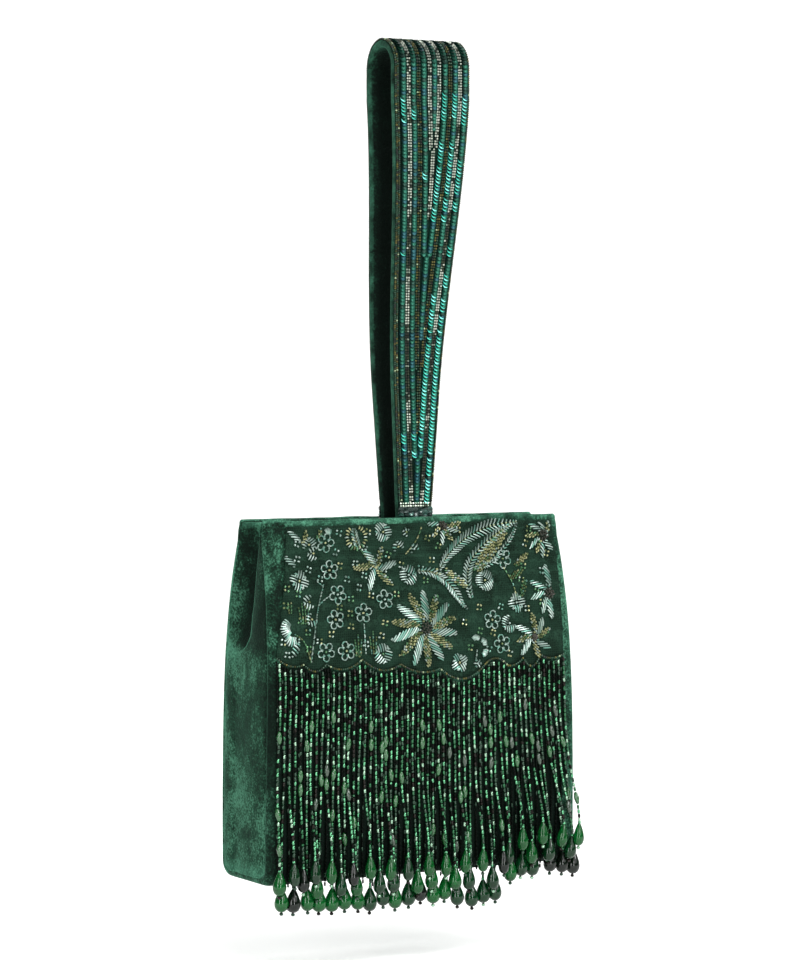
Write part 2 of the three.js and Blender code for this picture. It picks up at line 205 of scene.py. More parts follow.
def arched_wire(sides, rings, rise):
    """A unit length of coiled wire along X, rising in its middle and thinner at its ends."""
    stations = []
    for i in range(rings):
        t = i / (rings - 1)
        taper = 0.55 + 0.45 * math.sin(math.pi * clamp(t, 0.08, 0.92)) ** 0.5
        lift = rise * math.sin(math.pi * t)
        stations.append([(t - 0.5, taper * c, taper * s + lift) for c, s in circle(sides)])
    return ring_solid(stations, flip=True)


def pack_solid(points, faces):
    loops = np.array([i for f in faces for i in f], np.int32)
    sizes = np.array([len(f) for f in faces], np.int32)
    return np.array(points, float), loops, sizes


def turned(a, b, angle):
    """Two axes at right angles, turned in their plane from a towards b."""
    return a * math.cos(angle) + b * math.sin(angle), b * math.cos(angle) - a * math.sin(angle)


def draw(rng, weights):
    """The number of a look, drawn by those weights."""
    return rng.choices(range(len(weights)), weights)[0]


class Pile:
    """Many small solids that end up as one mesh. Placed in millimetres."""

    def __init__(self):
        self.points, self.loops, self.sizes, self.looks = [], [], [], []
        self.count = 0

    def add(self, solid, turn, place, look=0):
        points, loops, sizes = solid
        self.points.append(points @ np.asarray(turn).T + np.asarray(place))
        self.loops.append(loops + self.count)
        self.sizes.append(sizes)
        self.looks.append(np.full(len(sizes), look, np.int32))
        self.count += len(points)

    def build(self, name, materials, shade_smooth=False):
        points = np.concatenate(self.points) * MM
        points[:, 2] += BASE
        loops = np.concatenate(self.loops)
        sizes = np.concatenate(self.sizes)
        return mesh_object(name, points, loops, sizes, materials, np.concatenate(self.looks), shade_smooth)


def mesh_object(name, points, loops, sizes, materials, looks=None, shade_smooth=True):
    mesh = bpy.data.meshes.new(name)
    mesh.vertices.add(len(points))
    mesh.vertices.foreach_set("co", np.asarray(points, np.float32).ravel())
    mesh.loops.add(len(loops))
    mesh.loops.foreach_set("vertex_index", loops.astype(np.int32))
    mesh.polygons.add(len(sizes))
    starts = np.concatenate([[0], np.cumsum(sizes)[:-1]]).astype(np.int32)
    mesh.polygons.foreach_set("loop_start", starts)
    for m in materials:
        mesh.materials.append(m)
    if looks is not None:
        mesh.polygons.foreach_set("material_index", looks)
    mesh.polygons.foreach_set("use_smooth", np.full(len(sizes), shade_smooth))
    mesh.update(calc_edges=True)
    mesh.validate()
    obj = bpy.data.objects.new(name, mesh)
    bpy.context.scene.collection.objects.link(obj)
    return obj


def sheet_mesh(name, face, back, material, wrap=False):
    """A closed sheet between two matching grids of points, in metres."""
    face, back = np.asarray(face, float), np.asarray(back, float)
    rows, cols = face.shape[:2]
    points = np.concatenate([face.reshape(-1, 3), back.reshape(-1, 3)])
    side = rows * cols
    faces = []
    span = cols if wrap else cols - 1
    for r in range(rows - 1):
        for c in range(span):
            n = (c + 1) % cols
            a, b, d, e = r * cols + c, r * cols + n, (r + 1) * cols + n, (r + 1) * cols + c
            faces.append((a, b, d, e))
            faces.append((side + a, side + e, side + d, side + b))
    for c in range(span):
        n = (c + 1) % cols
        faces.append((n, c, side + c, side + n))
        last = (rows - 1) * cols
        faces.append((last + c, last + n, side + last + n, side + last + c))
    if not wrap:
        for r in range(rows - 1):
            a, e = r * cols, (r + 1) * cols
            faces.append((a, e, side + e, side + a))
            b, d = r * cols + cols - 1, (r + 1) * cols + cols - 1
            faces.append((d, b, side + b, side + d))
    if signed_volume(points, faces) < 0:
        faces = [f[::-1] for f in faces]
    _, loops, sizes = pack_solid([(0, 0, 0)], faces)
    return mesh_object(name, points, loops, sizes, [material])


def signed_volume(points, faces):
    quads = np.array(faces)
    a, b, c, d = (points[quads[:, i]] for i in range(4))
    return float((np.einsum("ij,ij->i", a, np.cross(b, c)) + np.einsum("ij,ij->i", a, np.cross(c, d))).sum())


def grid_normals(grid):
    du = np.gradient(grid, axis=1)
    dv = np.gradient(grid, axis=0)
    n = np.cross(du, dv)
    length = np.linalg.norm(n, axis=2, keepdims=True)
    return n / np.maximum(length, 1e-12)


def cloth_piece(name, grid, thickness, material, inward, wear_and_shading=None):
    """A sheet of that thickness in mm whose face is grid. inward is a point on its back side.

    The last argument holds the pile's rubbing and its painted shading at each point of the grid."""
    grid = np.asarray(grid, float)
    normals = grid_normals(grid)
    centre = np.asarray(inward, float)
    facing = np.einsum("ijk,ijk->ij", normals, centre - grid).sum()
    if facing < 0:
        normals = -normals
    obj = sheet_mesh(name, grid, grid + normals * thickness * MM, material)
    return write_wear_and_shading(obj, wear_and_shading) if wear_and_shading is not None else obj


def write_wear_and_shading(obj, wear_and_shading):
    """Stores the pile's rubbing and painted shading on both faces of a sheet."""
    shade_and_wear = np.tile(np.asarray(wear_and_shading, np.float32).ravel(), 2)
    obj.data.attributes.new("wear_and_shading", "FLOAT", "POINT").data.foreach_set("value", shade_and_wear)
    return obj


# ---- camera ----
CAMERA_AZIMUTH = math.radians(29.977)
CAMERA_PITCH = math.radians(2.119)
camera_data = bpy.data.cameras.new("camera")
camera_data.lens = 123.2
camera_data.sensor_width = 36
camera_data.clip_end = 50
camera = bpy.data.objects.new("camera", camera_data)
camera.location = (-0.9274, -1.6077, -0.1741)
camera.rotation_euler = (math.pi / 2 - CAMERA_PITCH, 0, -CAMERA_AZIMUTH)
bpy.context.scene.collection.objects.link(camera)
bpy.context.scene.camera = camera
bpy.context.scene.view_settings.view_transform = "Standard"


# ---- materials ----
def rgb(code):
    """Linear colour from a hex code."""
    out = []
    for k in (0, 2, 4):
        c = int(code[k:k + 2], 16) / 255
        out.append(c / 12.92 if c <= 0.04045 else ((c + 0.055) / 1.055) ** 2.4)
    return (*out, 1)


class Nodes:
    """A short way to write a material's nodes."""

    def __init__(self, name):
        self.material = bpy.data.materials.new(name)
        self.material.use_nodes = True
        self.tree = self.material.node_tree
        self.shader = self.tree.nodes["Principled BSDF"]
        self.where = self.make("ShaderNodeTexCoord").outputs["Object"]

    def make(self, kind, **values):
        node = self.tree.nodes.new(kind)
        for key, value in values.items():
            setattr(node, key, value)
        return node

    def join(self, out, into):
        """Links an output, or sets a plain value."""
        if hasattr(out, "links"):
            self.tree.links.new(out, into)
        else:
            into.default_value = out

    def put(self, **values):
        """Sets or links inputs of the shader."""
        for key, value in values.items():
            self.join(value, self.shader.inputs[key.replace("_", " ")])
        return self

    def noise(self, size, detail=3, rough=0.55, distortion=0.0, stretch=None):
        """Noise whose features are about size metres."""
        node = self.make("ShaderNodeTexNoise")
        values = {"Scale": 1 / size, "Detail": detail, "Roughness": rough, "Distortion": distortion}
        for key, value in values.items():
            node.inputs[key].default_value = value
        source = self.where
        if stretch:
            mapping = self.make("ShaderNodeMapping")
            mapping.inputs["Scale"].default_value = stretch
            self.join(source, mapping.inputs["Vector"])
            source = mapping.outputs["Vector"]
        self.join(source, node.inputs["Vector"])
        return node.outputs["Fac"]

    def ramp(self, fac, stops):
        node = self.make("ShaderNodeValToRGB")
        ramp = node.color_ramp
        while len(ramp.elements) < len(stops):
            ramp.elements.new(0.5)
        for element, (place, colour) in zip(ramp.elements, stops):
            element.position = place
            element.color = colour if len(colour) == 4 else (*colour, 1)
        self.join(fac, node.inputs["Fac"])
        return node.outputs["Color"]

    def mix(self, fac, a, b):
        node = self.make("ShaderNodeMix", data_type="RGBA")
        for value, socket in ((fac, 0), (a, 6), (b, 7)):
            self.join(value, node.inputs[socket])
        return node.outputs[2]

    def math(self, operation, a, b):
        node = self.make("ShaderNodeMath", operation=operation)
        self.join(a, node.inputs[0])
        self.join(b, node.inputs[1])
        return node.outputs[0]

    def times(self, a, b):
        return self.math("MULTIPLY", a, b)

    def plus(self, a, b):
        return self.math("ADD", a, b)

    def wave(self, size, direction, distortion=0.0):
        node = self.make("ShaderNodeTexWave", bands_direction=direction)
        node.inputs["Scale"].default_value = 0.314 / size
        node.inputs["Distortion"].default_value = distortion
        self.join(self.where, node.inputs["Vector"])
        return node.outputs["Fac"]

    def bump(self, height, distance, strength, under=None):
        node = self.make("ShaderNodeBump")
        node.inputs["Distance"].default_value = distance
        node.inputs["Strength"].default_value = strength
        self.join(height, node.inputs["Height"])
        if under is not None:
            self.join(under, node.inputs["Normal"])
        return node.outputs["Normal"]


def velvet(name, deep, mid, light, patch, rim_share):
    """Cut pile: patches where it lies another way, fine grain, and a pale sheen at grazing angles.

    A mesh's point attribute of rubbing and shading makes the pile paler above 0, where it is rubbed and where
    highlights are painted on edges and creases, and darker below 0, with painted shade in folds, under the fringe,
    inside the mouth and on the loop's inner face."""
    n = Nodes(name)
    lie = n.noise(patch, 2, 0.55, 0.8, stretch=(1, 1, 0.6))
    fleck = n.noise(0.0011, 2, 0.6)
    pile_tone = n.noise(0.0045, 3, 0.65, 0.3)
    wear_and_shading = n.make("ShaderNodeAttribute", attribute_name="wear_and_shading").outputs["Fac"]
    mixed = n.plus(n.plus(n.times(lie, 0.9), n.times(pile_tone, 0.55)), n.times(fleck, 1.0))
    # The point attribute shifts the ramp, then mixes in pale pile where it is rubbed and where highlights are painted
    # on edges and creases.
    mixed = n.plus(n.math("SUBTRACT", mixed, 0.72), n.times(wear_and_shading, 0.16))
    base = n.ramp(mixed, [(0.3, rgb(deep)), (0.52, rgb(mid)), (0.8, rgb(light))])
    brushed_and_sheen = n.math("MINIMUM", n.math("MAXIMUM", n.times(wear_and_shading, 0.42), 0.0), 0.55)
    base = n.mix(n.times(brushed_and_sheen, n.plus(fleck, 0.5)), base, rgb("4f8f74"))
    # Painted shade: the pile turns towards near-black where the attribute is below 0, with less rim sheen there.
    painted_shade = n.math("MINIMUM", n.math("MAXIMUM", n.times(wear_and_shading, -0.45), 0.0), 0.9)
    base = n.mix(painted_shade, base, rgb("020c07"))
    edge = n.make("ShaderNodeLayerWeight")
    edge.inputs["Blend"].default_value = 0.28
    rim = n.math("POWER", edge.outputs["Facing"], 2.2)
    rim = n.times(rim, n.math("SUBTRACT", rim_share, n.times(painted_shade, rim_share)))
    n.put(Base_Color=n.mix(rim, base, rgb("4f9a7a")), Roughness=0.9, Specular_IOR_Level=0.1)
    n.put(Sheen_Weight=0.12, Sheen_Roughness=0.4, Sheen_Tint=rgb("6fae92"))
    pile = n.bump(pile_tone, 0.0012, 0.6, n.bump(fleck, 0.0008, 0.8))
    return n.put(Normal=n.bump(lie, 0.003, 0.4, pile)).material


def satin(name, deep, light):
    n = Nodes(name)
    weave = n.times(n.wave(0.0005, "X"), n.wave(0.0005, "Z"))
    crease = n.noise(0.02, 4, 0.6, 1.2, stretch=(1, 1, 0.35))
    mixed = n.plus(n.times(crease, 0.85), n.times(weave, 0.15))
    n.put(Base_Color=n.ramp(mixed, [(0.3, rgb(deep)), (0.7, rgb(light))]), Roughness=0.5, Specular_IOR_Level=0.3)
    return n.put(Normal=n.bump(crease, 0.0016, 0.6, n.bump(weave, 0.00012, 0.4))).material


def net(name, deep, light, thread):
    """Fine knotted net over dark velvet, with threads running behind the stitching."""
    n = Nodes(name)
    cells = n.make("ShaderNodeTexVoronoi", feature="DISTANCE_TO_EDGE")
    cells.inputs["Scale"].default_value = 1 / 0.0013
    cells.inputs["Randomness"].default_value = 0.45
    n.join(n.where, cells.inputs["Vector"])
    threads = n.ramp(cells.outputs["Distance"], [(0.02, (1, 1, 1)), (0.16, (0, 0, 0))])
    patches = n.ramp(n.noise(0.012, 4, 0.6, 0.5), [(0.35, rgb(deep)), (0.65, rgb(light))])
    n.put(Base_Color=n.mix(n.times(threads, 0.3), patches, rgb(thread)), Roughness=0.9, Specular_IOR_Level=0.05)
    return n.put(Normal=n.bump(threads, 0.0003, 0.7, n.bump(n.noise(0.004, 3), 0.0012, 0.5))).material


def board_look():
    n = Nodes("grey_board")
    fibre = n.noise(0.0012, 5, 0.7, 0.3, stretch=(0.4, 1, 1))
    mixed = n.plus(n.times(fibre, 0.6), n.times(n.noise(0.015), 0.4))
    colour = n.ramp(mixed, [(0.3, rgb("7c725f")), (0.7, rgb("a39a84"))])
    return n.put(Base_Color=colour, Roughness=0.95, Normal=n.bump(fibre, 0.0003, 0.5)).material


def webbing_look():
    n = Nodes("webbing_weave")
    weave = n.times(n.wave(0.0012, "Z", 0.3), n.wave(0.0009, "X", 0.2))
    colour = n.ramp(weave, [(0.1, rgb("14221c")), (0.7, rgb("2c4238"))])
    return n.put(Base_Color=colour, Roughness=0.9, Normal=n.bump(weave, 0.0004, 0.8)).material


def metal(name, colour):
    n = Nodes(name)
    brushed_and_sheen = n.noise(0.0008, 3, 0.6, 0.0, stretch=(1, 1, 6))
    shine = n.ramp(brushed_and_sheen, [(0.3, rgb(colour)), (0.75, rgb("f2ead2"))])
    return n.put(Base_Color=shine, Metallic=1.0, Roughness=0.3, Normal=n.bump(brushed_and_sheen, 0.00005, 0.4)).material


def glassy(prefix, **looks):
    """Bead or sequin colours: (colour, metallic, roughness) and any further values.

    Each colour is its own slot, so a strand varies from bead to bead."""
    made = []
    for name, (colour, metallic, roughness, *more) in looks.items():
        n = Nodes(f"{prefix}_{name}")
        n.tree.nodes.remove(n.tree.nodes["Texture Coordinate"])
        n.put(Base_Color=rgb(colour), Metallic=metallic, Roughness=roughness, **dict(*more))
        made.append(n.material)
    return made


VELVET = velvet("velvet_pile", "04110a", "133022", "42735c", 0.024, 0.3)
# The loop's velvet: the bag's velvet made darker as painted shade, with a stronger pale sheen at grazing angles.
VELVET_STRAP_SHADE = velvet("velvet_strap_shade", "040c08", "0a1d15", "1c4030", 0.012, 0.5)
LINING = satin("lining_satin", "0f3024", "265a46")
GROUND = net("net_ground", "08140d", "15291f", "2e4a3b")
# The loop's face cloth: the front's net made darker as painted shade.
STRAP_GROUND_SHADE = net("strap_ground_shade", "040e0a", "0a1e16", "14302a")
BOARD = board_look()
WEBBING = webbing_look()
METAL = metal("snap_brass", "b09a5a")
paper = Nodes("paper_floor")
paper.put(Base_Color=paper.ramp(paper.noise(0.02, 4), [(0.2, rgb("f6f6f5")), (0.8, rgb("fbfbfa"))]))
FLOOR = paper.put(Roughness=0.95, Emission_Color=(1, 1, 1, 1), Emission_Strength=0.24).material

SEQUINS = glassy(
    "sequin",
    teal=("04382b", 0.8, 0.3),
    blue=("042e32", 0.8, 0.3),
    deep=("03221a", 0.8, 0.3),
    # bright and white are the colours of painted highlights on the sequins' rims.
    bright=("1c9d8a", 0.5, 0.3, {"Coat_Weight": 0.3, "Coat_Roughness": 0.1}),
    white=("63cfc1", 0.4, 0.25, {"Coat_Weight": 0.4, "Coat_Roughness": 0.1}),
)
DARK_SEQUINS = glassy(
    "end_sequin",
    dark=("0a211c", 0.6, 0.25, {"Coat_Weight": 0.4}),
    green=("0f3a31", 0.6, 0.25, {"Coat_Weight": 0.4}),
)
SEEDS = glassy(
    "seed",
    green=("1c3a28", 0.3, 0.25),
    gold=("5e5a33", 0.8, 0.3),
    olive=("343a20", 0.6, 0.28),
    pale=("8a9a78", 0.5, 0.25),
    black=("0b1610", 0.2, 0.3),
)
SILVER = glassy(
    "silver",
    bright=("b4bcae", 0.9, 0.3),
    grey=("7d8a7c", 0.9, 0.3),
    green=("343c2c", 0.6, 0.35),
    # shade is the silver darkened as painted shade.
    shade=("10170f", 0.3, 0.4),
)
PURL = glassy(
    "purl",
    pale=("a3b5ad", 0.9, 0.36),
    mid=("7f978d", 0.9, 0.38),
    sea=("6a9788", 0.85, 0.38),
    gold=("a8aa80", 0.9, 0.34),
    olive=("616e48", 0.8, 0.36),
    dark=("2a2a20", 0.5, 0.3, {"Coat_Weight": 0.5}),
    moss=("55805a", 0.7, 0.3),
)
STRAND_GLASS = glassy(
    "bugle",
    green=("16522f", 0.7, 0.16, {"Coat_Weight": 0.3}),
    dark=("0a2e1b", 0.4, 0.18, {"Coat_Weight": 0.2}),
    black=("020603", 0, 0.35, {"Specular_IOR_Level": 0.06}),
    brown=("120e0a", 0.2, 0.22, {"Specular_IOR_Level": 0.2}),
    pale=("86a68e", 0.8, 0.2),
    silvered=("57966f", 0.9, 0.14),
)
OVAL_CLEAR = {"Transmission_Weight": 0.3, "IOR": 1.5, "Coat_Weight": 0.4}
DROP_CLEAR = {"Transmission_Weight": 0.5, "IOR": 1.4}
OVAL_GLASS = glassy(
    "oval",
    green=("245c30", 0, 0.12, OVAL_CLEAR),
    smoke=("2c4030", 0, 0.12, OVAL_CLEAR),
)
DROP_GLASS = glassy(
    "drop",
    green=("055420", 0, 0.03, DROP_CLEAR),
    deep=("043216", 0, 0.03, DROP_CLEAR),
    brown=("07120a", 0, 0.04, {"Transmission_Weight": 0.45, "IOR": 1.4}),
)


# ---- floor, backdrop and lights ----
FLOOR_DROP = 0.03
STAGE_FRONT, BACKDROP_AT, BACKDROP_BEND, BACKDROP_HEIGHT = -6, 3.0, 1.5, 7
STAGE_HALF_WIDTH = 8
floor_z = CAD_BOX[0][2] - FLOOR_DROP
sweep = [(lerp(STAGE_FRONT, BACKDROP_AT, k / 12), floor_z) for k in range(12)]
for k in range(13):
    a = k / 12 * math.pi / 2
    sweep.append((BACKDROP_AT + BACKDROP_BEND * math.sin(a), floor_z + BACKDROP_BEND * (1 - math.cos(a))))
sweep.append((BACKDROP_AT + BACKDROP_BEND, floor_z + BACKDROP_HEIGHT))
stage_grid = [[(x, y, z) for x in (-STAGE_HALF_WIDTH, STAGE_HALF_WIDTH)] for y, z in sweep]
ahead, aside = math.cos(CAMERA_AZIMUTH), math.sin(CAMERA_AZIMUTH)
to_camera = np.array([[ahead, aside, 0], [-aside, ahead, 0], [0, 0, 1]])
flat = np.array(stage_grid) @ to_camera.T
sheet_mesh("backdrop", flat, flat - np.array([0, 0, 0.01]), FLOOR)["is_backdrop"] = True

world = bpy.data.worlds.new("studio")
world.use_nodes = True
world.node_tree.nodes["Background"].inputs["Color"].default_value = (0.95, 0.98, 1.0, 1)
world.node_tree.nodes["Background"].inputs["Strength"].default_value = 0.16
bpy.context.scene.world = world


def lamp(name, kind, power, aim, **values):
    """A light that shines along aim."""
    data = bpy.data.lights.new(name, kind)
    data.energy = power
    for key, value in values.items():
        setattr(data, key, value)
    obj = bpy.data.objects.new(name, data)
    obj.rotation_euler = aim.to_track_quat("-Z", "Y").to_euler()
    bpy.context.scene.collection.objects.link(obj)
    return obj


AIM = Vector((0, 0, -0.3))
for name, place, size, power in (
    ("key", (1.0, -1.6, 1.1), (0.5, 0.9), 24),
    ("left_panel", (-1.3, -0.75, -0.2), (0.4, 1.5), 15),
    ("front_panel", (-0.32, -1.5, -0.2), (0.22, 1.3), 12),
    ("top", (0.1, 0.5, 1.6), (1.0, 1.0), 14),
):
    panel = lamp(name, "AREA", power, AIM - Vector(place), shape="RECTANGLE", size=size[0], size_y=size[1])
    panel.location = place
    panel.visible_camera = False
lamp("daylight", "SUN", 2.3, Vector((-0.25, 0.62, -0.75)), angle=math.radians(70))


# ---- shared placing on the bag's front ----
def panel_frame(z, side=-1, depth=half_depth):
    """Across, up and outward directions on a panel at that height."""
    slope = slope_of(depth, z)
    length = math.hypot(1, slope)
    return (1, 0, 0), (0, side * slope / length, 1 / length), (0, side / length, -slope / length)


def on_front(x, z, out):
    _, _, normal = panel_frame(z)
    return (x + normal[0] * out, -half_depth(z) + normal[1] * out, z + normal[2] * out)


def clothe(obj, body, slot, *nodes):
    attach(obj, body)
    if nodes:
        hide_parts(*nodes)


# ---- front and back covers ----
PANELS = (("front", -1, "front"), ("back", 1, "bag"))
EDGE_ROUND = 4.0
EDGE_ROUND_TOP = 0.25  # share of it that is left at the mouth
ROUND_FADES = 188  # above this height
ROLL = 2.0
ROLL_AT = 197.0
FACING_END = 187.0
COVER = 1.1
INSIDE_ROWS = 12  # rows of a cover's profile past its top edge
WAVY_FROM = 190  # the mouth's edge is uneven above this height
MOUTH_PINCH = 0.996


def cover_profile():
    """Half depth, height and share of the edges' rounding.

    From the seam under the bag, up the face, over the top edge and down inside."""
    line = []
    for k in range(8):
        a = k / 7 * math.pi / 2
        line.append((HALF_DEPTH_BASE - BOTTOM_RADIUS * (1 - math.sin(a)), BOTTOM_RADIUS * (1 - math.cos(a)), 1.0))
    for z in map(float, np.linspace(12, ROLL_AT, 64)):
        line.append((half_depth(z), z, lerp(1.0, EDGE_ROUND_TOP, max(z - ROUND_FADES, 0) / (ROLL_AT - ROUND_FADES))))
    slope = math.atan(slope_of(half_depth, ROLL_AT))
    for k in range(1, 9):
        a = k / 8 * math.pi + slope
        middle = half_depth(ROLL_AT) - ROLL * math.cos(slope)
        height = ROLL_AT - ROLL * math.sin(slope)
        line.append((middle + ROLL * math.cos(a), height + ROLL * math.sin(a), EDGE_ROUND_TOP))
    for z in map(float, np.linspace(ROLL_AT - 1, FACING_END, 5)):
        line.append((half_depth(z) - 2 * ROLL / math.cos(slope), z, EDGE_ROUND_TOP))
    return line


def mouth_wave(x, side):
    """How far the worn upper edge rises. The front's has two bumps."""
    lift = 0.35 * ripple(x, 0, 9 + side, 16)
    if side < 0:
        lift += 1.5 * math.exp(-(((x - 66) / 9) ** 2)) + 0.9 * math.exp(-(((x + 88) / 7) ** 2))
    return lift


def cover_wear_and_shading(x, z, side, outside, rolled):
    """The pile's rubbing and painted shading: paler along the edges and the rolled top, rubbed and with painted
    highlight, and paler round the foot; painted shade inside the mouth, a painted shadow below the net's edge where
    the fringe hangs, and painted shade on the strip left of the net.
    """
    edge = 0.75 * math.exp(-(((half_width(z) - abs(x)) / 2.2) ** 2)) * (0.6 + ripple(x, z, 17, 9))
    # Less of the pale edge, rubbing and painted highlight, along the front's left edge low down.
    if side < 0 and x < 0:
        edge *= lerp(0.15, 0.8, smooth((z - 110) / 25))
    # The rolled top is paler, rubbed and with painted highlight; the rows further inside the mouth get painted shade.
    top = 0.5 * smooth((z - 196) / 2.5) * (0.75 + 0.8 * ripple(x, z, 19, 6)) if rolled else -0.4
    foot = 0.5 * smooth((9 - z) / 6)
    shade = 0.0
    # A painted shadow of the fringe below the net's scalloped edge.
    if side < 0 and outside and GROUND_LEFT < x < GROUND_RIGHT:
        shade = -2.6 * smooth((scallop(x) - z) / 5) * smooth((x - GROUND_LEFT) / 4)
    # Painted shade on the strip left of the net, deepest low down.
    if side < 0 and outside and x < ground_left(z):
        shade = lerp(-0.85, -0.42 + 0.5 * ripple(x, z, 23, 7), smooth((z - 85) / 60))
    return max(edge, 0) + max(top, -0.5) + foot + shade


def cover_grid(side):
    line = np.array(cover_profile())
    tangent = np.gradient(line[:, :2], axis=0)
    tangent /= np.linalg.norm(tangent, axis=1)[:, None]
    normal = np.stack([tangent[:, 1], -tangent[:, 0]], axis=1)
    # Columns: which rounded side edge, the angle round it, and the place between the two edges.
    columns = [(-1, math.pi / 2 * (1 - k / 6), 0) for k in range(7)]
    columns += [(0, 0, lerp(-1, 1, k / 84)) for k in range(1, 84)]
    columns += [(1, math.pi / 2 * k / 6, 0) for k in range(7)]
    grid, wear_and_shading = [], []
    face_rows = len(line) - INSIDE_ROWS
    for i, ((y, z, share), n) in enumerate(zip(line, normal)):
        r = EDGE_ROUND * share
        w = half_width(z)
        row, shade_and_wear = [], []
        for hand, a, u in columns:
            x = hand * (w - r + r * math.sin(a)) if hand else u * (w - r)
            if z >= ROLL_AT - 1:
                x *= MOUTH_PINCH
            face = clamp((z - 4) / 20) * clamp((WAVY_FROM - z) / 14)
            swell = face * (0.35 * ripple(x, z, 3 + side, 24) + 0.18 * ripple(x, z, 5 + side, 8))
            lift = mouth_wave(x, side) * smooth((z - WAVY_FROM) / 8)
            out = swell * math.cos(a) - r * (1 - math.cos(a))
            row.append(at(x, side * (y + n[0] * out), z + n[1] * out + lift))
            shade_and_wear.append(cover_wear_and_shading(x, z, side, i < face_rows, i < face_rows + 6))
        grid.append(row)
        wear_and_shading.append(shade_and_wear)
    return grid, wear_and_shading


for place, side, body in PANELS:
    grid, wear_and_shading = cover_grid(side)
    cover = cloth_piece(place + "_cover", grid, COVER, VELVET, at(0, side * 3, 100), wear_and_shading)
    clothe(cover, body, "velvet", place + "_velvet")


# ---- base ----
BASE_ROUND = np.linspace(0, math.pi / 2, 6)
BASE_COLUMNS = [(-1, a) for a in BASE_ROUND[::-1]] + [(0, u) for u in np.linspace(-0.98, 0.98, 50)]
BASE_COLUMNS += [(1, a) for a in BASE_ROUND]


def base_point(v, column):
    """A column is a place across, or with hand -1 or 1 an angle round that rounded end."""
    hand, a = column
    y = v * (HALF_DEPTH_BASE - BOTTOM_RADIUS - 0.15)
    level = HALF_WIDTH_BASE - EDGE_ROUND
    if hand:
        return at(hand * (level + EDGE_ROUND * math.sin(a)), y, EDGE_ROUND * (1 - math.cos(a)))
    return at(a * level, y, -0.5 * (1 - v * v) * (1 - a * a) + 0.12 * ripple(a * level, y, 2, 14))


base_grid = grid_of(base_point, np.linspace(-1, 1, 18), BASE_COLUMNS)
base_cover = cloth_piece("base_cover", base_grid, COVER, VELVET, at(0, 0, 50))
clothe(base_cover, "bag", "velvet", "base_velvet")

# ---- side gussets: flat below, folded inwards towards the mouth ----
# Heights, and there half depth of the fold's crease and how far inwards the fold reaches.
CREASE = ([125, 130, 136, 155, 177, 193, 198], [9, 1, -4, -7.5, -9.6, -12, -13.5])
FOLD = ([120, 127, 136, 155, 198], [0, 0.6, 5, 11.5, 19])
WALL = 3.0  # half depth that the fold's wall takes


def gusset_edge(z):
    """Half depth of the gusset's own edge, where it meets the covers."""
    if z >= BOTTOM_RADIUS:
        return half_depth(z) - EDGE_ROUND
    drop = BOTTOM_RADIUS - z
    radius = BOTTOM_RADIUS - EDGE_ROUND
    return HALF_DEPTH_BASE - BOTTOM_RADIUS + math.sqrt(max(radius**2 - drop**2, 0))


def gusset_section(z, inset):
    """Half depth against distance inwards, from the front seam to the back seam."""
    edge = gusset_edge(z)
    fold = float(np.interp(z, *FOLD))
    crease = max(float(np.interp(z, *CREASE)) - inset, -edge + 0.4)
    wall = crease + WALL
    line = []
    open_fold = clamp(fold / 3)
    # The outer part up to the crease, the fold's wall, and the part behind it.
    for k in range(13):
        t = 1 - (1 - k / 12) ** 1.6
        puff = math.sin(math.pi * t) * clamp((crease + edge) / 18)
        # Where the fold is open: a painted highlight on the crease, and painted shade over the rest of this part.
        shade_and_wear = open_fold * (2.4 * smooth((t - 0.92) / 0.08) - 0.9)
        line.append((lerp(-edge, crease, t), 0.35 * (1 - t) ** 6 - puff, shade_and_wear))
    # The fold's wall, in painted shade.
    for k in range(1, 8):
        t = k / 8
        line.append((lerp(crease, wall, smooth(t)), fold * (1 - math.cos(math.pi * t)) / 2, -1.2 * open_fold))
    for k in range(17):
        t = k / 16
        bow = 1.6 * math.sin(math.pi * t) * clamp(fold / 6)
        flat_puff = -0.9 * math.sin(math.pi * t) * (1 - clamp(fold / 4))
        # Painted shade behind the crease, lighter towards the back seam, which is paler.
        shade_and_wear = open_fold * lerp(-2.4, -0.7, smooth(t * 1.1)) + 0.7 * t**6
        line.append((lerp(wall, edge, t), fold * (1 - t) ** 0.9 + bow + flat_puff + 0.35 * t**8, shade_and_wear))
    return line


def gusset_grid(hand, inset, low, high, steps):
    """Points, and the pile's rubbing and painted shading, of a gusset: a painted highlight on its crease, painted
    shade on the fold's wall and behind the crease, and paler at its back seam, hem and foot.
    """
    rows, wear_and_shading = [], []
    for z in map(float, np.linspace(low, high, steps)):
        w = half_width(z) - 0.1
        row, shade_and_wear = [], []
        for y, d, pile_tone in gusset_section(z, inset):
            wrinkle = (0.3 * ripple(y, z, 11 + hand, 15) + 0.15 * ripple(y, z, 13 + hand, 6)) * clamp((z - 8) / 20)
            row.append(at(hand * (w - inset - d + wrinkle), y, z))
            # A paler hem, rubbed and with painted highlight, a paler foot, and a painted highlight low on the fold
            # towards the back.
            top = 0.6 * smooth((z - 194) / 3) * (0.7 + 0.7 * ripple(y, z, 15 + hand, 5))
            shade_and_wear.append(pile_tone * (1 - smooth((z - 189) / 6)) + max(top, 0) + 0.5 * smooth((14 - z) / 8)
                        + 0.9 * math.exp(-(((z - 127) / 6) ** 2)) * clamp((y - 5) / 10))
        rows.append(row)
        wear_and_shading.append(shade_and_wear)
    return rows, wear_and_shading


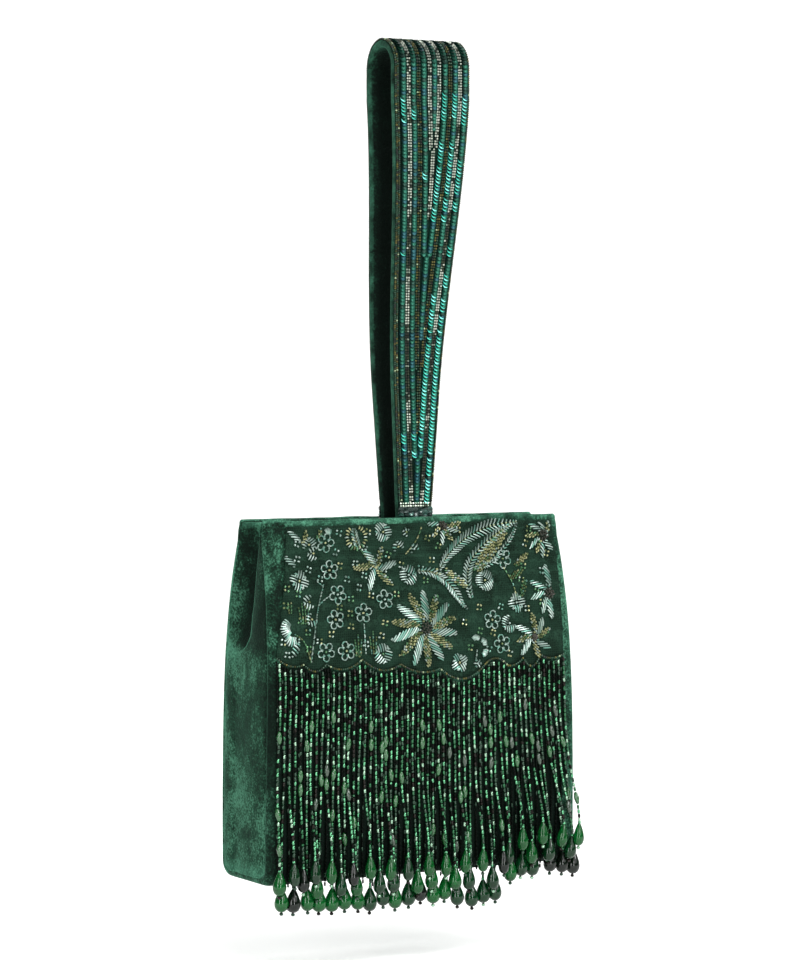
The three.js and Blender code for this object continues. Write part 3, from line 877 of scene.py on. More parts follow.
def hemmed(grid, hand, radius, tail):
    """Turns the top row over into a soft rolled hem on the inside."""
    grid = np.asarray(grid, float)
    normals = grid_normals(grid)[-1]
    if np.einsum("ij,ij->i", normals, np.tile((-hand, 0, 0), (len(normals), 1))).sum() < 0:
        normals = -normals
    normals[:, 2] = 0
    normals /= np.maximum(np.linalg.norm(normals, axis=1)[:, None], 1e-9)
    top = grid[-1]
    rows = []
    for k in range(1, 7):
        a = k / 6 * math.pi
        rows.append(top + normals * radius * (1 - math.cos(a)) * MM + np.array([0, 0, radius * math.sin(a) * MM]))
    rows.append(rows[-1] - np.array([0, 0, tail * MM]))
    return np.concatenate([grid, rows])


for name, hand in (("left", -1), ("right", 1)):
    grid, wear_and_shading = gusset_grid(hand, inset=0, low=4, high=197, steps=90)
    grid = hemmed(grid, hand, radius=1.3, tail=6)
    wear_and_shading += [wear_and_shading[-1]] * (len(grid) - len(wear_and_shading))
    side_cloth = cloth_piece(name + "_gusset", grid, 1.0, VELVET, at(0, 0, 80), wear_and_shading)
    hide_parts(name + "_gusset_front", name + "_gusset_back")
    liner, _ = gusset_grid(hand, inset=2.6, low=6, high=191, steps=44)
    side_lining = cloth_piece(name + "_gusset_lining", liner, 0.5, LINING, at(0, 0, 80))
    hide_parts(name + "_gusset_lining_front", name + "_gusset_lining_back")
    for cloth_side in (side_cloth, side_lining):
        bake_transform(cloth_side)


# ---- linings of the panels and the base ----
PANEL = 3.7  # thickness of a cover, its board and its lining
LINING_DEPTH = 3.15
LINING_INSET = 3.2
FLOOR_LINING = 3.9  # height of the lining on the base


def lining_point(z, u, side):
    x = u * (half_width(z) - LINING_INSET)
    deep = LINING_DEPTH * math.hypot(1, slope_of(cad_half_depth, z))
    pucker = 0.25 + 0.22 * ripple(x, z * 0.4, 21 + side, 7) + 0.2 * ripple(x, z, 23 + side, 30)
    return at(x, side * (cad_half_depth(z) - deep - pucker), z)


def floor_point(v, u):
    x, y = u * (HALF_WIDTH_BASE - 3.4), v * (HALF_DEPTH_BASE - BOTTOM_RADIUS - 0.6)
    return at(x, y, FLOOR_LINING + 0.3 * ripple(x, y, 31, 12))


for place, side, body in PANELS:
    face = grid_of(lambda z, u, side=side: lining_point(z, u, side),
                   np.linspace(5.0, FACING_END - 0.4, 60), np.linspace(-1, 1, 70))
    inner = cloth_piece(place + "_lining_satin", face, 0.5, LINING, at(0, side * 60, 100))
    clothe(inner, body, "lining", place + "_lining")

floor_rows = grid_of(floor_point, np.linspace(-1, 1, 16), np.linspace(-1, 1, 60))
base_inner = cloth_piece("base_lining_satin", floor_rows, 0.5, LINING, at(0, 0, -50))
clothe(base_inner, "bag", "lining", "base_lining")


# ---- magnetic snap halves ----
SNAP_HEIGHT = 160.0
SNAP_DEPTH = 4.0  # of its back, from the panel's outer face


def snap_half(name, side, body, node, profile):
    """A half turned from (radius, height) pairs, its axis pointing into the bag."""
    across, up, out = (np.array(v, float) for v in panel_frame(SNAP_HEIGHT, side, cad_half_depth))
    pile = Pile()
    face = np.array((0, side * cad_half_depth(SNAP_HEIGHT), SNAP_HEIGHT))
    pile.add(lathe(profile, 48), np.array([across, up, -out]).T, face - out * SNAP_DEPTH)
    clothe(pile.build(name, [METAL]), body, "snap_metal", node)


snap_half("snap_socket_half", -1, "front", "snap_socket", [
    (0.3, 0), (6.9, 0), (7, 0.25), (7, 1.6), (6.5, 2.2), (5.6, 2.4), (4.9, 2.2), (4.6, 1.4), (2.4, 1.3), (2.2, 0.9),
    (0.3, 0.9)])
snap_half("snap_stud_half", 1, "bag", "snap_stud", [
    (0.3, 0), (6.9, 0), (7, 0.25), (6.9, 0.8), (6.2, 1.1), (4.4, 1.2), (4.2, 1.4), (4.1, 2.1), (3.7, 2.4),
    (0.3, 2.4)])

for node, look in (("front_board", BOARD), ("back_board", BOARD), ("base_board", BOARD), ("strap_webbing", WEBBING),
                   ("snap_socket_plate", METAL), ("snap_stud_plate", METAL)):
    slots = frame["nodes"][node].data.materials
    for i in range(len(slots)):
        slots[i] = look
    if not len(slots):
        slots.append(look)


# ---- the loop: a velvet tube round webbing, with a face of sequin and bead columns ----
ARCH_AT = LOOP_TOP - STRAP_HALF_THICK - LOOP_RADIUS
LOOP_HALF_DEPTH_MOUTH = 8.1
END_HALF_WIDTH = 12.0  # of the strap's soft ends at their widest
LEAN_FROM = 270  # the loop leans to the right above this height


def strap_half_width(z):
    t = clamp((z - BODY_HEIGHT) / (STRAP_WIDEST_AT - BODY_HEIGHT))
    return lerp(STRAP_HALF_MOUTH, STRAP_HALF_TOP, t)


def strap_centre(z):
    return STRAP_OFFSET + STRAP_LEAN * smooth((z - LEAN_FROM) / (STRAP_WIDEST_AT - LEAN_FROM))


def loop_half_depth(z):
    """Half the distance between the loop's front and back strips."""
    if z < BODY_HEIGHT:
        panel = PANEL * math.hypot(1, slope_of(cad_half_depth, z))
        return cad_half_depth(z) - panel - 0.3 - STRAP_HALF_THICK
    t = clamp((z - BODY_HEIGHT) / (ARCH_AT - BODY_HEIGHT))
    return lerp(LOOP_HALF_DEPTH_MOUTH, LOOP_RADIUS, math.sin(t * math.pi / 2))


def strap_path():
    """The strap's middle line from its sewn front end, over the top, to its sewn back end."""
    rise = [(-loop_half_depth(float(z)), float(z)) for z in np.linspace(ROOT_BOTTOM, ARCH_AT, 240)]
    arch = [(-LOOP_RADIUS * math.cos(a), ARCH_AT + LOOP_RADIUS * math.sin(a))
            for a in np.linspace(0, math.pi, 40)[1:-1]]
    fall = [(-y, z) for y, z in reversed(rise)]
    line = np.array(rise + arch + fall)
    along = np.concatenate([[0], np.cumsum(np.linalg.norm(np.diff(line, axis=0), axis=1))])
    return line, along


PATH, ALONG = strap_path()
LENGTH = float(ALONG[-1])


def strap_spot(s):
    """(depth, height), outward and onward directions of the strap's middle line at length s."""
    def place(s):
        return [float(np.interp(s, ALONG, PATH[:, k])) for k in (0, 1)]

    (y0, z0), (y1, z1) = place(max(s - 0.8, 0)), place(min(s + 0.8, LENGTH))
    d = math.hypot(y1 - y0, z1 - z0)
    onward = ((y1 - y0) / d, (z1 - z0) / d)
    return place(s), (-onward[1], onward[0]), onward


def on_strap(spot, u, lift):
    """A point that far across and outward from a spot of the strap's middle line."""
    (y, z), out, _ = spot
    return strap_centre(z) + u, y + out[0] * lift, z + out[1] * lift


def along_at_height(z):
    """Length along the front strip at which it reaches that height."""
    return float(ALONG[int(np.argmax(PATH[:, 1] >= z))])


SPLIT = along_at_height(SOFT_SPLIT)
MOUTH = along_at_height(BODY_HEIGHT + 2)
BAR = along_at_height(BODY_HEIGHT + 9)
BAR_ROOM = BAR + 1.4  # where the columns stop, clear of the bar
# Each zone: the stretches of its tube, face cloth and trim, half its widest width and its CAD node.
ZONES = {
    "strap": [(SPLIT, LENGTH - SPLIT)] * 3 + [STRAP_HALF_TOP, "strap_velvet"],
    "strap_front_end": [(0, SPLIT), (MOUTH, SPLIT), (BAR_ROOM, SPLIT), END_HALF_WIDTH, "strap_root_front"],
    "strap_back_end": [(LENGTH - SPLIT, LENGTH), (LENGTH - SPLIT, LENGTH - MOUTH),
                       (LENGTH - SPLIT, LENGTH - BAR_ROOM), END_HALF_WIDTH, "strap_root_back"],
}


def strap_body(obj, zone, slot, *nodes):
    """Hides the CAD nodes; the loop and its front end are baked in place, and its back end goes with the bag."""
    if nodes:
        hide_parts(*nodes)
    if zone == "strap":
        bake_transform(obj)
    elif zone == "strap_front_end":
        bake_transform(obj)
    else:
        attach(obj, "bag")


TUBE_HALF_THICK, TUBE_CORNER = 2.0, 1.6
TUBE_WALL, INNER_CORNER = 1.1, 0.72
FACE_OUT = 1.95  # the trim's ground, mm outward from the strap's middle line


def tube_section(half, thick, corner):
    """Points round a flat tube: across and outward, mm from the strap's middle line."""
    points = []
    reach, rise = half - corner, thick - corner
    for cx, cy, start in ((reach, rise, 0), (-reach, rise, 90), (-reach, -rise, 180), (reach, -rise, 270)):
        for k in range(5):
            a = math.radians(start + k * 22.5)
            points.append((cx + corner * math.cos(a), cy + corner * math.sin(a)))
        if start in (0, 180):
            side = 1 if start == 0 else -1
            for t in (0.12, 0.25, 0.37, 0.5, 0.63, 0.75, 0.88):
                points.append((side * lerp(reach, -reach, t), side * thick))
    return points


def strap_tube(zone, low, high):
    outer, inner, wear_and_shading = [], [], []
    for s in map(float, np.linspace(low, high, max(8, int((high - low) / 2.2)))):
        spot = strap_spot(s)
        z = spot[0][1]
        half = strap_half_width(z)
        row, shade_and_wear = [], []
        for u, o in tube_section(half, TUBE_HALF_THICK, TUBE_CORNER):
            edge = abs(u) / half
            # Pale along the tube's edges, partly rubbed pile and partly painted highlight; painted shade on its inner
            # face, below 0.
            pile_tone = 0.35 * smooth((edge - 0.9) / 0.08) * (0.8 + 1.5 * ripple(u, s, 45, 4))
            shade_and_wear.append(pile_tone - (1.5 * smooth((0.95 - edge) / 0.12) if o < 0 else 0))
            fuzz = 0.16 * ripple(u + z * 0.2, s, 41, 5) * (0.3 + edge)
            row.append(at(*on_strap(spot, u + (fuzz if u > 0 else -fuzz), o + fuzz)))
        outer.append(row)
        wear_and_shading.append(shade_and_wear)
        section = tube_section(half - TUBE_WALL, TUBE_HALF_THICK - TUBE_WALL, INNER_CORNER)
        inner.append([at(*on_strap(spot, u, o)) for u, o in section])
    return write_wear_and_shading(sheet_mesh(zone + "_velvet_tube", outer, inner, VELVET_STRAP_SHADE, wrap=True), wear_and_shading)


def strap_face(zone, low, high):
    def point(s, u):
        spot = strap_spot(s)
        across = u * (strap_half_width(spot[0][1]) - 0.5)
        return at(*on_strap(spot, across, FACE_OUT + 0.25 + 0.12 * ripple(across, s, 43, 3)))

    rows = grid_of(point, np.linspace(low, high, max(6, int((high - low) / 2.4))), np.linspace(-1, 1, 22))
    behind = at(*on_strap(strap_spot((low + high) / 2), 0, -9))
    return cloth_piece(zone + "_face_cloth", rows, 0.3, STRAP_GROUND_SHADE, behind)


# Columns by distance from the strap's edge: kind, distance, half width.
COLUMNS = [
    ("sequin", 4.7, 1.7), ("silver", 8.1, 1.3), ("sequin", 11.2, 1.7), ("gold", 14.5, 1.3), ("sequin", 17.9, 1.7),
    ("silver", 21.7, 1.4), ("sequin", 24.8, 1.6),
]
COLUMN_SHIFT = 1.3  # the columns sit a little to the right of the strap's middle
CUT_BEAD = lathe([(0.3, -0.52), (0.5, -0.42), (0.55, 0.0), (0.5, 0.42), (0.3, 0.52)], 7)
SEED_BEAD = lathe([(0.25, -0.5), (0.5, -0.38), (0.62, 0.0), (0.5, 0.38), (0.25, 0.5)], 8)
CUP_SEQUIN = lathe([(0.3, 0.2), (1.1, 0.1), (1.86, 0.36), (1.84, 0.46), (1.0, 0.26)], 10, closed=True)


def crescent(radius, width, low, high):
    """A thin sickle round Z: a painted highlight on the lit rim of a sequin."""
    rings = []
    for k in range(9):
        t = k / 8
        a = lerp(low, high, t)
        near = radius - width * max(0.12, math.sin(math.pi * t))
        section = ((radius, 0.4), (radius, 0.56), (near, 0.46), (near, 0.34))
        rings.append([(r * math.cos(a), r * math.sin(a), h) for r, h in section])
    return ring_solid(rings)


GLINT = crescent(1.88, 0.72, math.radians(160), math.radians(310))


def strap_turn(out, onward, spin, tilt=0.0):
    """Axes of a solid on the strap: its X across, its Y along and its Z outward."""
    x = np.array([1.0, 0, 0])
    y, z = turned(np.array([0, *onward]), np.array([0, *out]), tilt)
    x, y = turned(x, y, spin)
    return np.array([x, y, z]).T


def lay_bead(turn, across=False):
    """A bead whose hole runs along the column, or across it."""
    x, y, z = turn.T
    return np.array([z, y, x]).T if across else np.array([x, z, y]).T * np.array([1, -1, 1])


def strap_trim(zone, low, high):
    """Sequins, silver and gold beads and the two edges of one stretch of the strap."""
    rng = random.Random(zone)
    piles = {key: Pile() for key in ("sequins", "silver_beads", "gold_beads", "edge_left", "edge_right")}

    def spot(s, u, lift):
        here = strap_spot(s)
        return on_strap(here, u, lift), *here[1:]

    def each(step, offsets):
        s = low
        while s < high:
            for u in offsets(strap_half_width(strap_spot(s)[0][1])):
                yield s, u
            s += step

    for kind, distance, half in COLUMNS:
        def places(width, distance=distance, half=half):
            """Where the column's pair lies: they join in the middle, then end, as the strap narrows."""
            u, shift = width - distance, COLUMN_SHIFT * width / STRAP_HALF_TOP
            if u >= half * 1.02:
                return shift - u, shift + u
            return (shift,) if u > -half * 0.6 else ()

        if kind == "sequin":
            for s, u in each(1.95, places):
                p, out, onward = spot(s, u + rng.uniform(-0.08, 0.08), FACE_OUT + 0.5)
                # lit picks where a sequin gets a painted highlight, a bright crescent on its rim, mostly right of the
                # middle.
                lit = ripple(u * 0.35 + distance, s, 71, 26) + (0.1 if u > 3 else -0.36)
                lit += 0.45 * ripple(u + distance * 3, s, 74, 7)
                lean = (-0.3 if lit > 0 else -0.16) + rng.uniform(-0.03, 0.03)
                turn = strap_turn(out, onward, 0, lean)
                blue = 1 + 2 * (ripple(u, s, 72, 30) > 0.1)
                piles["sequins"].add(CUP_SEQUIN, turn, p, draw(rng, (6, blue, 1.5)))
                if lit > 0 and rng.random() < 0.93:
                    piles["sequins"].add(GLINT, turn, p, rng.choices((3, 4), (2, 1))[0])
        else:
            key, bead = ("silver_beads", CUT_BEAD) if kind == "silver" else ("gold_beads", SEED_BEAD)
            for s, u in each(1.5, places):
                # Patches of painted highlight and painted shade: mostly bright silver in some patches, dim green and
                # shade-coloured beads in others, with more bright patches up the loop.
                bright = ripple(u * 0.2, s, 73, 40) + 0.2 * smooth((strap_spot(s)[0][1] - 330) / 60) > 0.06
                for side in (-0.66, 0.66):
                    p, out, onward = spot(s + side * 1.13, u + side, FACE_OUT + 0.75 + rng.uniform(-0.05, 0.05))
                    turn = lay_bead(strap_turn(out, onward, rng.uniform(-0.08, 0.08), rng.uniform(-0.1, 0.1)))
                    if kind == "silver":
                        looks = (7, 1.2, 0.6, 0.5) if bright else (0.2, 1, 4, 4)
                    else:
                        looks = (2, 2.4, 3.4, 0.15, 2)
                    piles[key].add(bead, turn, p, draw(rng, looks))
    for hand, key in ((-1, "edge_left"), (1, "edge_right")):
        for row in range(2 if hand < 0 else 1):
            for s, u in each(1.15, lambda width, hand=hand, row=row: (hand * (width - 1.1 - 1.25 * row),)):
                p, out, onward = spot(s + 0.5 * row, u, FACE_OUT + 0.7 + rng.uniform(-0.08, 0.08))
                turn = lay_bead(strap_turn(out, onward, rng.uniform(-0.15, 0.15), 0.0))
                piles[key].add(SEED_BEAD, turn, p, draw(rng, (5, 1.2, 3.5, 0.3, 2.5)))
    return piles


def end_bar(zone, s_bar, toward):
    """The silver bar across the strap's end, and the dark sequins below it."""
    rng = random.Random(zone + "bar")
    bar, dark = Pile(), Pile()
    for row in range(2):
        spot = strap_spot(s_bar + toward * row * 1.5)
        half = strap_half_width(spot[0][1]) - 0.8
        count = int(2 * half / 1.6)
        for k in range(count):
            place = on_strap(spot, lerp(-half, half, (k + 0.5) / count), FACE_OUT + 1.0)
            turn = lay_bead(strap_turn(*spot[1:], rng.uniform(-0.1, 0.1)), across=True)
            bar.add(CUT_BEAD, turn, place, draw(rng, (5, 3, 1)))
    # Rows of sequins below the bar, as far as the mouth.
    for row in range(4):
        spot = strap_spot(s_bar + toward * (3.6 + row * 1.7))
        if spot[0][1] < BODY_HEIGHT + 0.5:
            continue
        half = strap_half_width(spot[0][1]) - 1.6
        for k in range(7):
            place = on_strap(spot, lerp(-half, half, k / 6) + rng.uniform(-0.2, 0.2), FACE_OUT + 0.55)
            turn = strap_turn(*spot[1:], rng.uniform(0, 6), rng.uniform(-0.25, 0.25))
            dark.add(CUP_SEQUIN, turn, place, draw(rng, (3, 1)))
    return bar, dark


# Each trim: its looks, its slot and the CAD node that it stands for on the loop.
TRIMS = {
    "sequins": (SEQUINS, "sequins", "strap_sequins"),
    "silver_beads": (SILVER, "silver_thread"),
    "gold_beads": (SEEDS, "seed_beads"),
    "edge_left": (SEEDS, "seed_beads", "strap_edge_beads_left"),
    "edge_right": (SEEDS, "seed_beads", "strap_edge_beads_right"),
}
for zone, ((low, high), (face_low, face_high), (trim_low, trim_high), half, node) in ZONES.items():
    whole = zone == "strap"
    tube = strap_tube(zone, low, high)
    strap_body(tube, zone, "velvet", node)
    width = 4 * half * MM
    face = strap_face(zone, face_low, face_high)
    strap_body(face, zone, "net", *["strap_face"] * whole)
    for key, pile in strap_trim(zone, trim_low, trim_high).items():
        if pile.count:
            looks, slot, *nodes = TRIMS[key]
            strap_body(pile.build(f"{zone}_{key}_trim", looks), zone, slot, *nodes * whole)
    if not whole:
        bar, dark = end_bar(zone, *((BAR, -1) if zone == "strap_front_end" else (LENGTH - BAR, 1)))
        strap_body(bar.build(zone + "_bar", SILVER), zone, "silver_thread")
        strap_body(dark.build(zone + "_dark_sequins", DARK_SEQUINS), zone, "sequins")


# ---- fringe ----
GROUPS = 8
STRANDS = 7
FRINGE_LEFT = -94.8
FRINGE_PITCH = 23.35
STRAND_PITCH = FRINGE_PITCH / STRANDS
HANG_Y = -HALF_DEPTH_BASE - 1.8
BEAD_GAP = 0.06
# Each strand of a group: its drop's place from the group's middle, and the drop's row.
PLAN = [(-11, 1), (-7.6, 0), (-3.7, 2), (0.3, 0), (3.8, 1), (8.0, 0), (9.6, 2)]
ROW_HEIGHT = 8.2
ROW_Y = (-31.2, -35.6, -38.4)
ROW_GIRTH = ((1.02, 1.14), (0.92, 1.04))
LAST_ROW_GIRTH = 0.84
LOWEST = [-13, -17, -16, -16, -17, -19, -7, -7]  # lowest drop tip of each group
BUGLE = lathe([(0.4, -1.2), (0.74, -0.95), (0.78, 0.0), (0.74, 0.95), (0.4, 1.2)], 7)
OVAL = lathe([(0.4, -3.6), (1.05, -2.7), (1.5, -0.6), (1.5, 0.8), (1.05, 2.8), (0.4, 3.6)], 9)
ROUND = lathe([(0.35, -0.75), (0.85, -0.5), (1.0, 0.0), (0.85, 0.5), (0.35, 0.75)], 8)
DROP = lathe([(0.35, 0.0), (1.7, 0.45), (2.95, 1.6), (3.65, 3.5), (3.75, 5.2), (3.3, 7.4), (2.5, 9.6), (1.55, 11.8),
              (0.9, 13.0), (0.4, 13.4)], 14)
DROP_LENGTH = 13.5
DROP_ROOM = 15.2  # from a drop's tip to the end of its strand
TIP_SEED = lathe([(0.3, -0.95), (0.9, -0.7), (1.15, 0.0), (0.9, 0.65), (0.3, 0.9)], 8)
# What is threaded: the solid, the length that it takes, its looks and how often each is drawn.
# FILLING has the looks and weights of the dark strands behind, mostly near-black beads which also stand as painted
# shade between the strands.
OVALS = (OVAL, 7.4, (6, 7), (4, 1))
ROUNDS = (ROUND, 1.6, (0, 1, 3, 5), (2, 3, 1, 2))
BUGLES = (BUGLE, 2.45, range(6), (4, 3.6, 1.6, 0.9, 1.3, 2.6))
FILLING = ((1, 2), (1, 7))

heading = Pile()  # beads above their group's hinge, which stay with the front


def hang_turn(direction, spin=0.0):
    """Axes of a bead threaded along a direction, turned about it by spin."""
    z = np.array(direction, float)
    z /= np.linalg.norm(z)
    x = np.cross((0, 1, 0), z)
    x /= np.linalg.norm(x)
    return np.array([*turned(x, np.cross(z, x), spin), z]).T


def strand_line(header, top_x, end_x, end_z, drop_y, phase, outward):
    """A strand's middle line: down the front from the scallop, then freely to its drop."""
    def spot(z):
        t = clamp((header - z) / (header - end_z))
        x = lerp(top_x, end_x, smooth(t)) + 0.45 * math.sin(z / 9 + phase) * (1 - t) * clamp(t * 4)
        if z > header:
            y = lerp(HANG_Y, -half_depth(z) - 1.15, clamp((z - header) / 4))
        else:
            y = lerp(HANG_Y, drop_y, smooth((t - 0.55) / 0.45))
        return x + outward * t * t, y, z

    return spot


def thread_beads(rng, spot, z, end, header, strands):
    """Threads beads from height z down to the end, and returns the height that they reach."""
    while z > end:
        roll = rng.random()
        kind = OVALS if roll < 0.035 and end + 12 < z < header - 12 else ROUNDS if roll < 0.1 else BUGLES
        solid, length, looks, weights = kind
        look = rng.choices(looks, weights)[0]
        middle = z - length / 2
        lean = np.subtract(spot(middle + 1), spot(middle - 1))
        lean += np.array([rng.uniform(-0.26, 0.26), rng.uniform(-0.12, 0.12), 0])
        target = heading if middle > header else strands
        target.add(solid, hang_turn(lean, rng.uniform(0, 6.28)), spot(middle), look)
        z -= length + BEAD_GAP
    return z


def fill_behind(rng, x, header, strands):
    """A dark strand close on the velvet, which fills the gap between two others: partly dark beads, partly painted
    shade between the strands.
    """
    wander = rng.uniform(0, 6.28)
    z, foot = scallop(x) - 1.4, rng.uniform(-2, 3)
    while z > foot:
        t = clamp((header - z) / header)
        place = (x + 0.5 * math.sin(z / 11 + wander) * t, -half_depth(max(z, 0)) - 0.85, z - 1.25)
        turn = hang_turn((rng.uniform(-0.1, 0.1), 0, 1)) * np.array([0.7, 0.7, 1])
        (heading if place[2] > header else strands).add(BUGLE, turn, place, rng.choices(*FILLING)[0])
        z -= 2.56


for group in range(GROUPS):
    rng = random.Random(500 + group)
    body = f"fringe_{group + 1}"
    header = PIVOTS[body]
    strands, drops = Pile(), Pile()
    x0 = FRINGE_LEFT + group * FRINGE_PITCH
    spread = 5 * (group / 7) ** 2 - 0.3 * (7 - group)
    for i, (offset, row) in enumerate(PLAN):
        top_x = x0 + (i + 0.5) * STRAND_PITCH
        end_x = x0 + FRINGE_PITCH / 2 + offset + rng.uniform(-0.25, 0.25) + spread
        end_z = LOWEST[group] + row * ROW_HEIGHT + rng.uniform(-1.8, 1.8) + DROP_ROOM
        # The last two groups spread to the right.
        outward = 0.0 if group < 6 else (4.0 if group == 7 and i < 6 else 1.5)
        spot = strand_line(header, top_x, end_x, end_z, ROW_Y[row], rng.uniform(0, 6.28), outward)
        z = thread_beads(rng, spot, scallop(top_x) - 1.6, end_z, header, strands)
        swing = np.array([rng.uniform(-0.05, 0.05) + outward * 0.03, rng.uniform(-0.02, 0.02), 1.0])
        tip = np.array([*spot(end_z)[:2], z]) - swing * DROP_LENGTH
        look = draw(rng, (5, 3, 1.3))
        girth = rng.uniform(*ROW_GIRTH[row]) if row < 2 else LAST_ROW_GIRTH
        drops.add(DROP, hang_turn(swing, rng.uniform(0, 6)) * np.array([girth, girth, 1]), tip, look)
        strands.add(TIP_SEED, hang_turn(swing), tip - swing * 0.9, rng.choices((1, 3, 4), (2, 1, 1))[0])
        strands.add(ROUND, hang_turn(swing), tip + swing * 13.6, 5)
    for i in range(STRANDS):
        fill_behind(rng, x0 + i * STRAND_PITCH + 0.2, header, strands)
    clothe(strands.build(f"{body}_strands", STRAND_GLASS + OVAL_GLASS, shade_smooth=True), body, "seed_beads", body)
    clothe(drops.build(f"{body}_drops", DROP_GLASS, shade_smooth=True), body, "glass_beads", body)
clothe(heading.build("fringe_heading", STRAND_GLASS + OVAL_GLASS, shade_smooth=True), "front", "seed_beads")

# ---- embroidery ----
GROUND_OUT = 0.75  # the net's height above the cover, and below it that of the stitching
LIFT = 1.2
PETAL_PITCH = 1.9
LOOP_FLOWER_RADIUS = 5.6


def ground_point(r, u):
    foot, head = (lerp(left, GROUND_RIGHT, u) for left in (GROUND_LEFT, GROUND_LEFT_TOP))
    x, z = lerp(foot, head, r), lerp(scallop(foot) + 0.4, GROUND_TOP, r)
    return at(*on_front(x, z, GROUND_OUT + 0.22 * ripple(x, z, 61, 6) + 0.15 * ripple(x, z, 62, 2.5)))


ground_grid = grid_of(ground_point, np.linspace(0, 1, 34), np.linspace(0, 1, 110))
ground = cloth_piece("embroidery_net", ground_grid, 0.35, GROUND, at(0, 0, 120))
clothe(ground, "front", "net", "embroidery_ground")


def surface_turn(z, angle):
    """Axes on the front panel: X along the angle, Y across it, Z outward."""
    across, up, out = (np.array(v, float) for v in panel_frame(z))
    return np.array([*turned(across, up, angle), out]).T


def threaded_along(turn):
    """The same axes for a bead, whose hole is its Z, with that hole along X."""
    x, y, z = turn.T
    return np.array([y, z, x]).T


WIRE = arched_wire(5, 5, 0.9)
SMALL_BEAD = lathe([(0.25, -0.5), (0.6, -0.34), (0.68, 0.0), (0.6, 0.34), (0.25, 0.5)], 7)
PALE, MID, SEA, GOLDEN, OLIVE, DARK, MOSS = range(7)
SILVERS = ((PALE, 5), (MID, 3), (SEA, 2))
GOLDS = ((GOLDEN, 5), (OLIVE, 2), (PALE, 1.5), (MOSS, 1))
GREENS = ((MOSS, 4), (OLIVE, 3), (GOLDEN, 1), (SEA, 1))


def sewn(x, z):
    """Where a spot of the pattern lies on the front: the motifs sit further left below the mouth."""
    return x - 1 - 4.1 * smooth((191 - z) / 20), z + 1.3


def polar(x, z, r, a):
    return x + r * math.cos(a), z + r * math.sin(a)


def curve(points, steps):
    """Points along a smooth line through the given ones."""
    pts = np.array(points, float)
    t = np.linspace(0, len(pts) - 1, steps)
    k = np.clip(t.astype(int), 0, len(pts) - 2)
    f = (t - k)[:, None]
    p1, p2 = pts[k], pts[k + 1]
    p0, p3 = pts[np.maximum(k - 1, 0)], pts[np.minimum(k + 2, len(pts) - 1)]
    bend = (p2 - p0) * f + (2 * p0 - 5 * p1 + 4 * p2 - p3) * f**2 + (3 * p1 - p0 - 3 * p2 + p3) * f**3
    return [tuple(p) for p in p1 + 0.5 * bend]


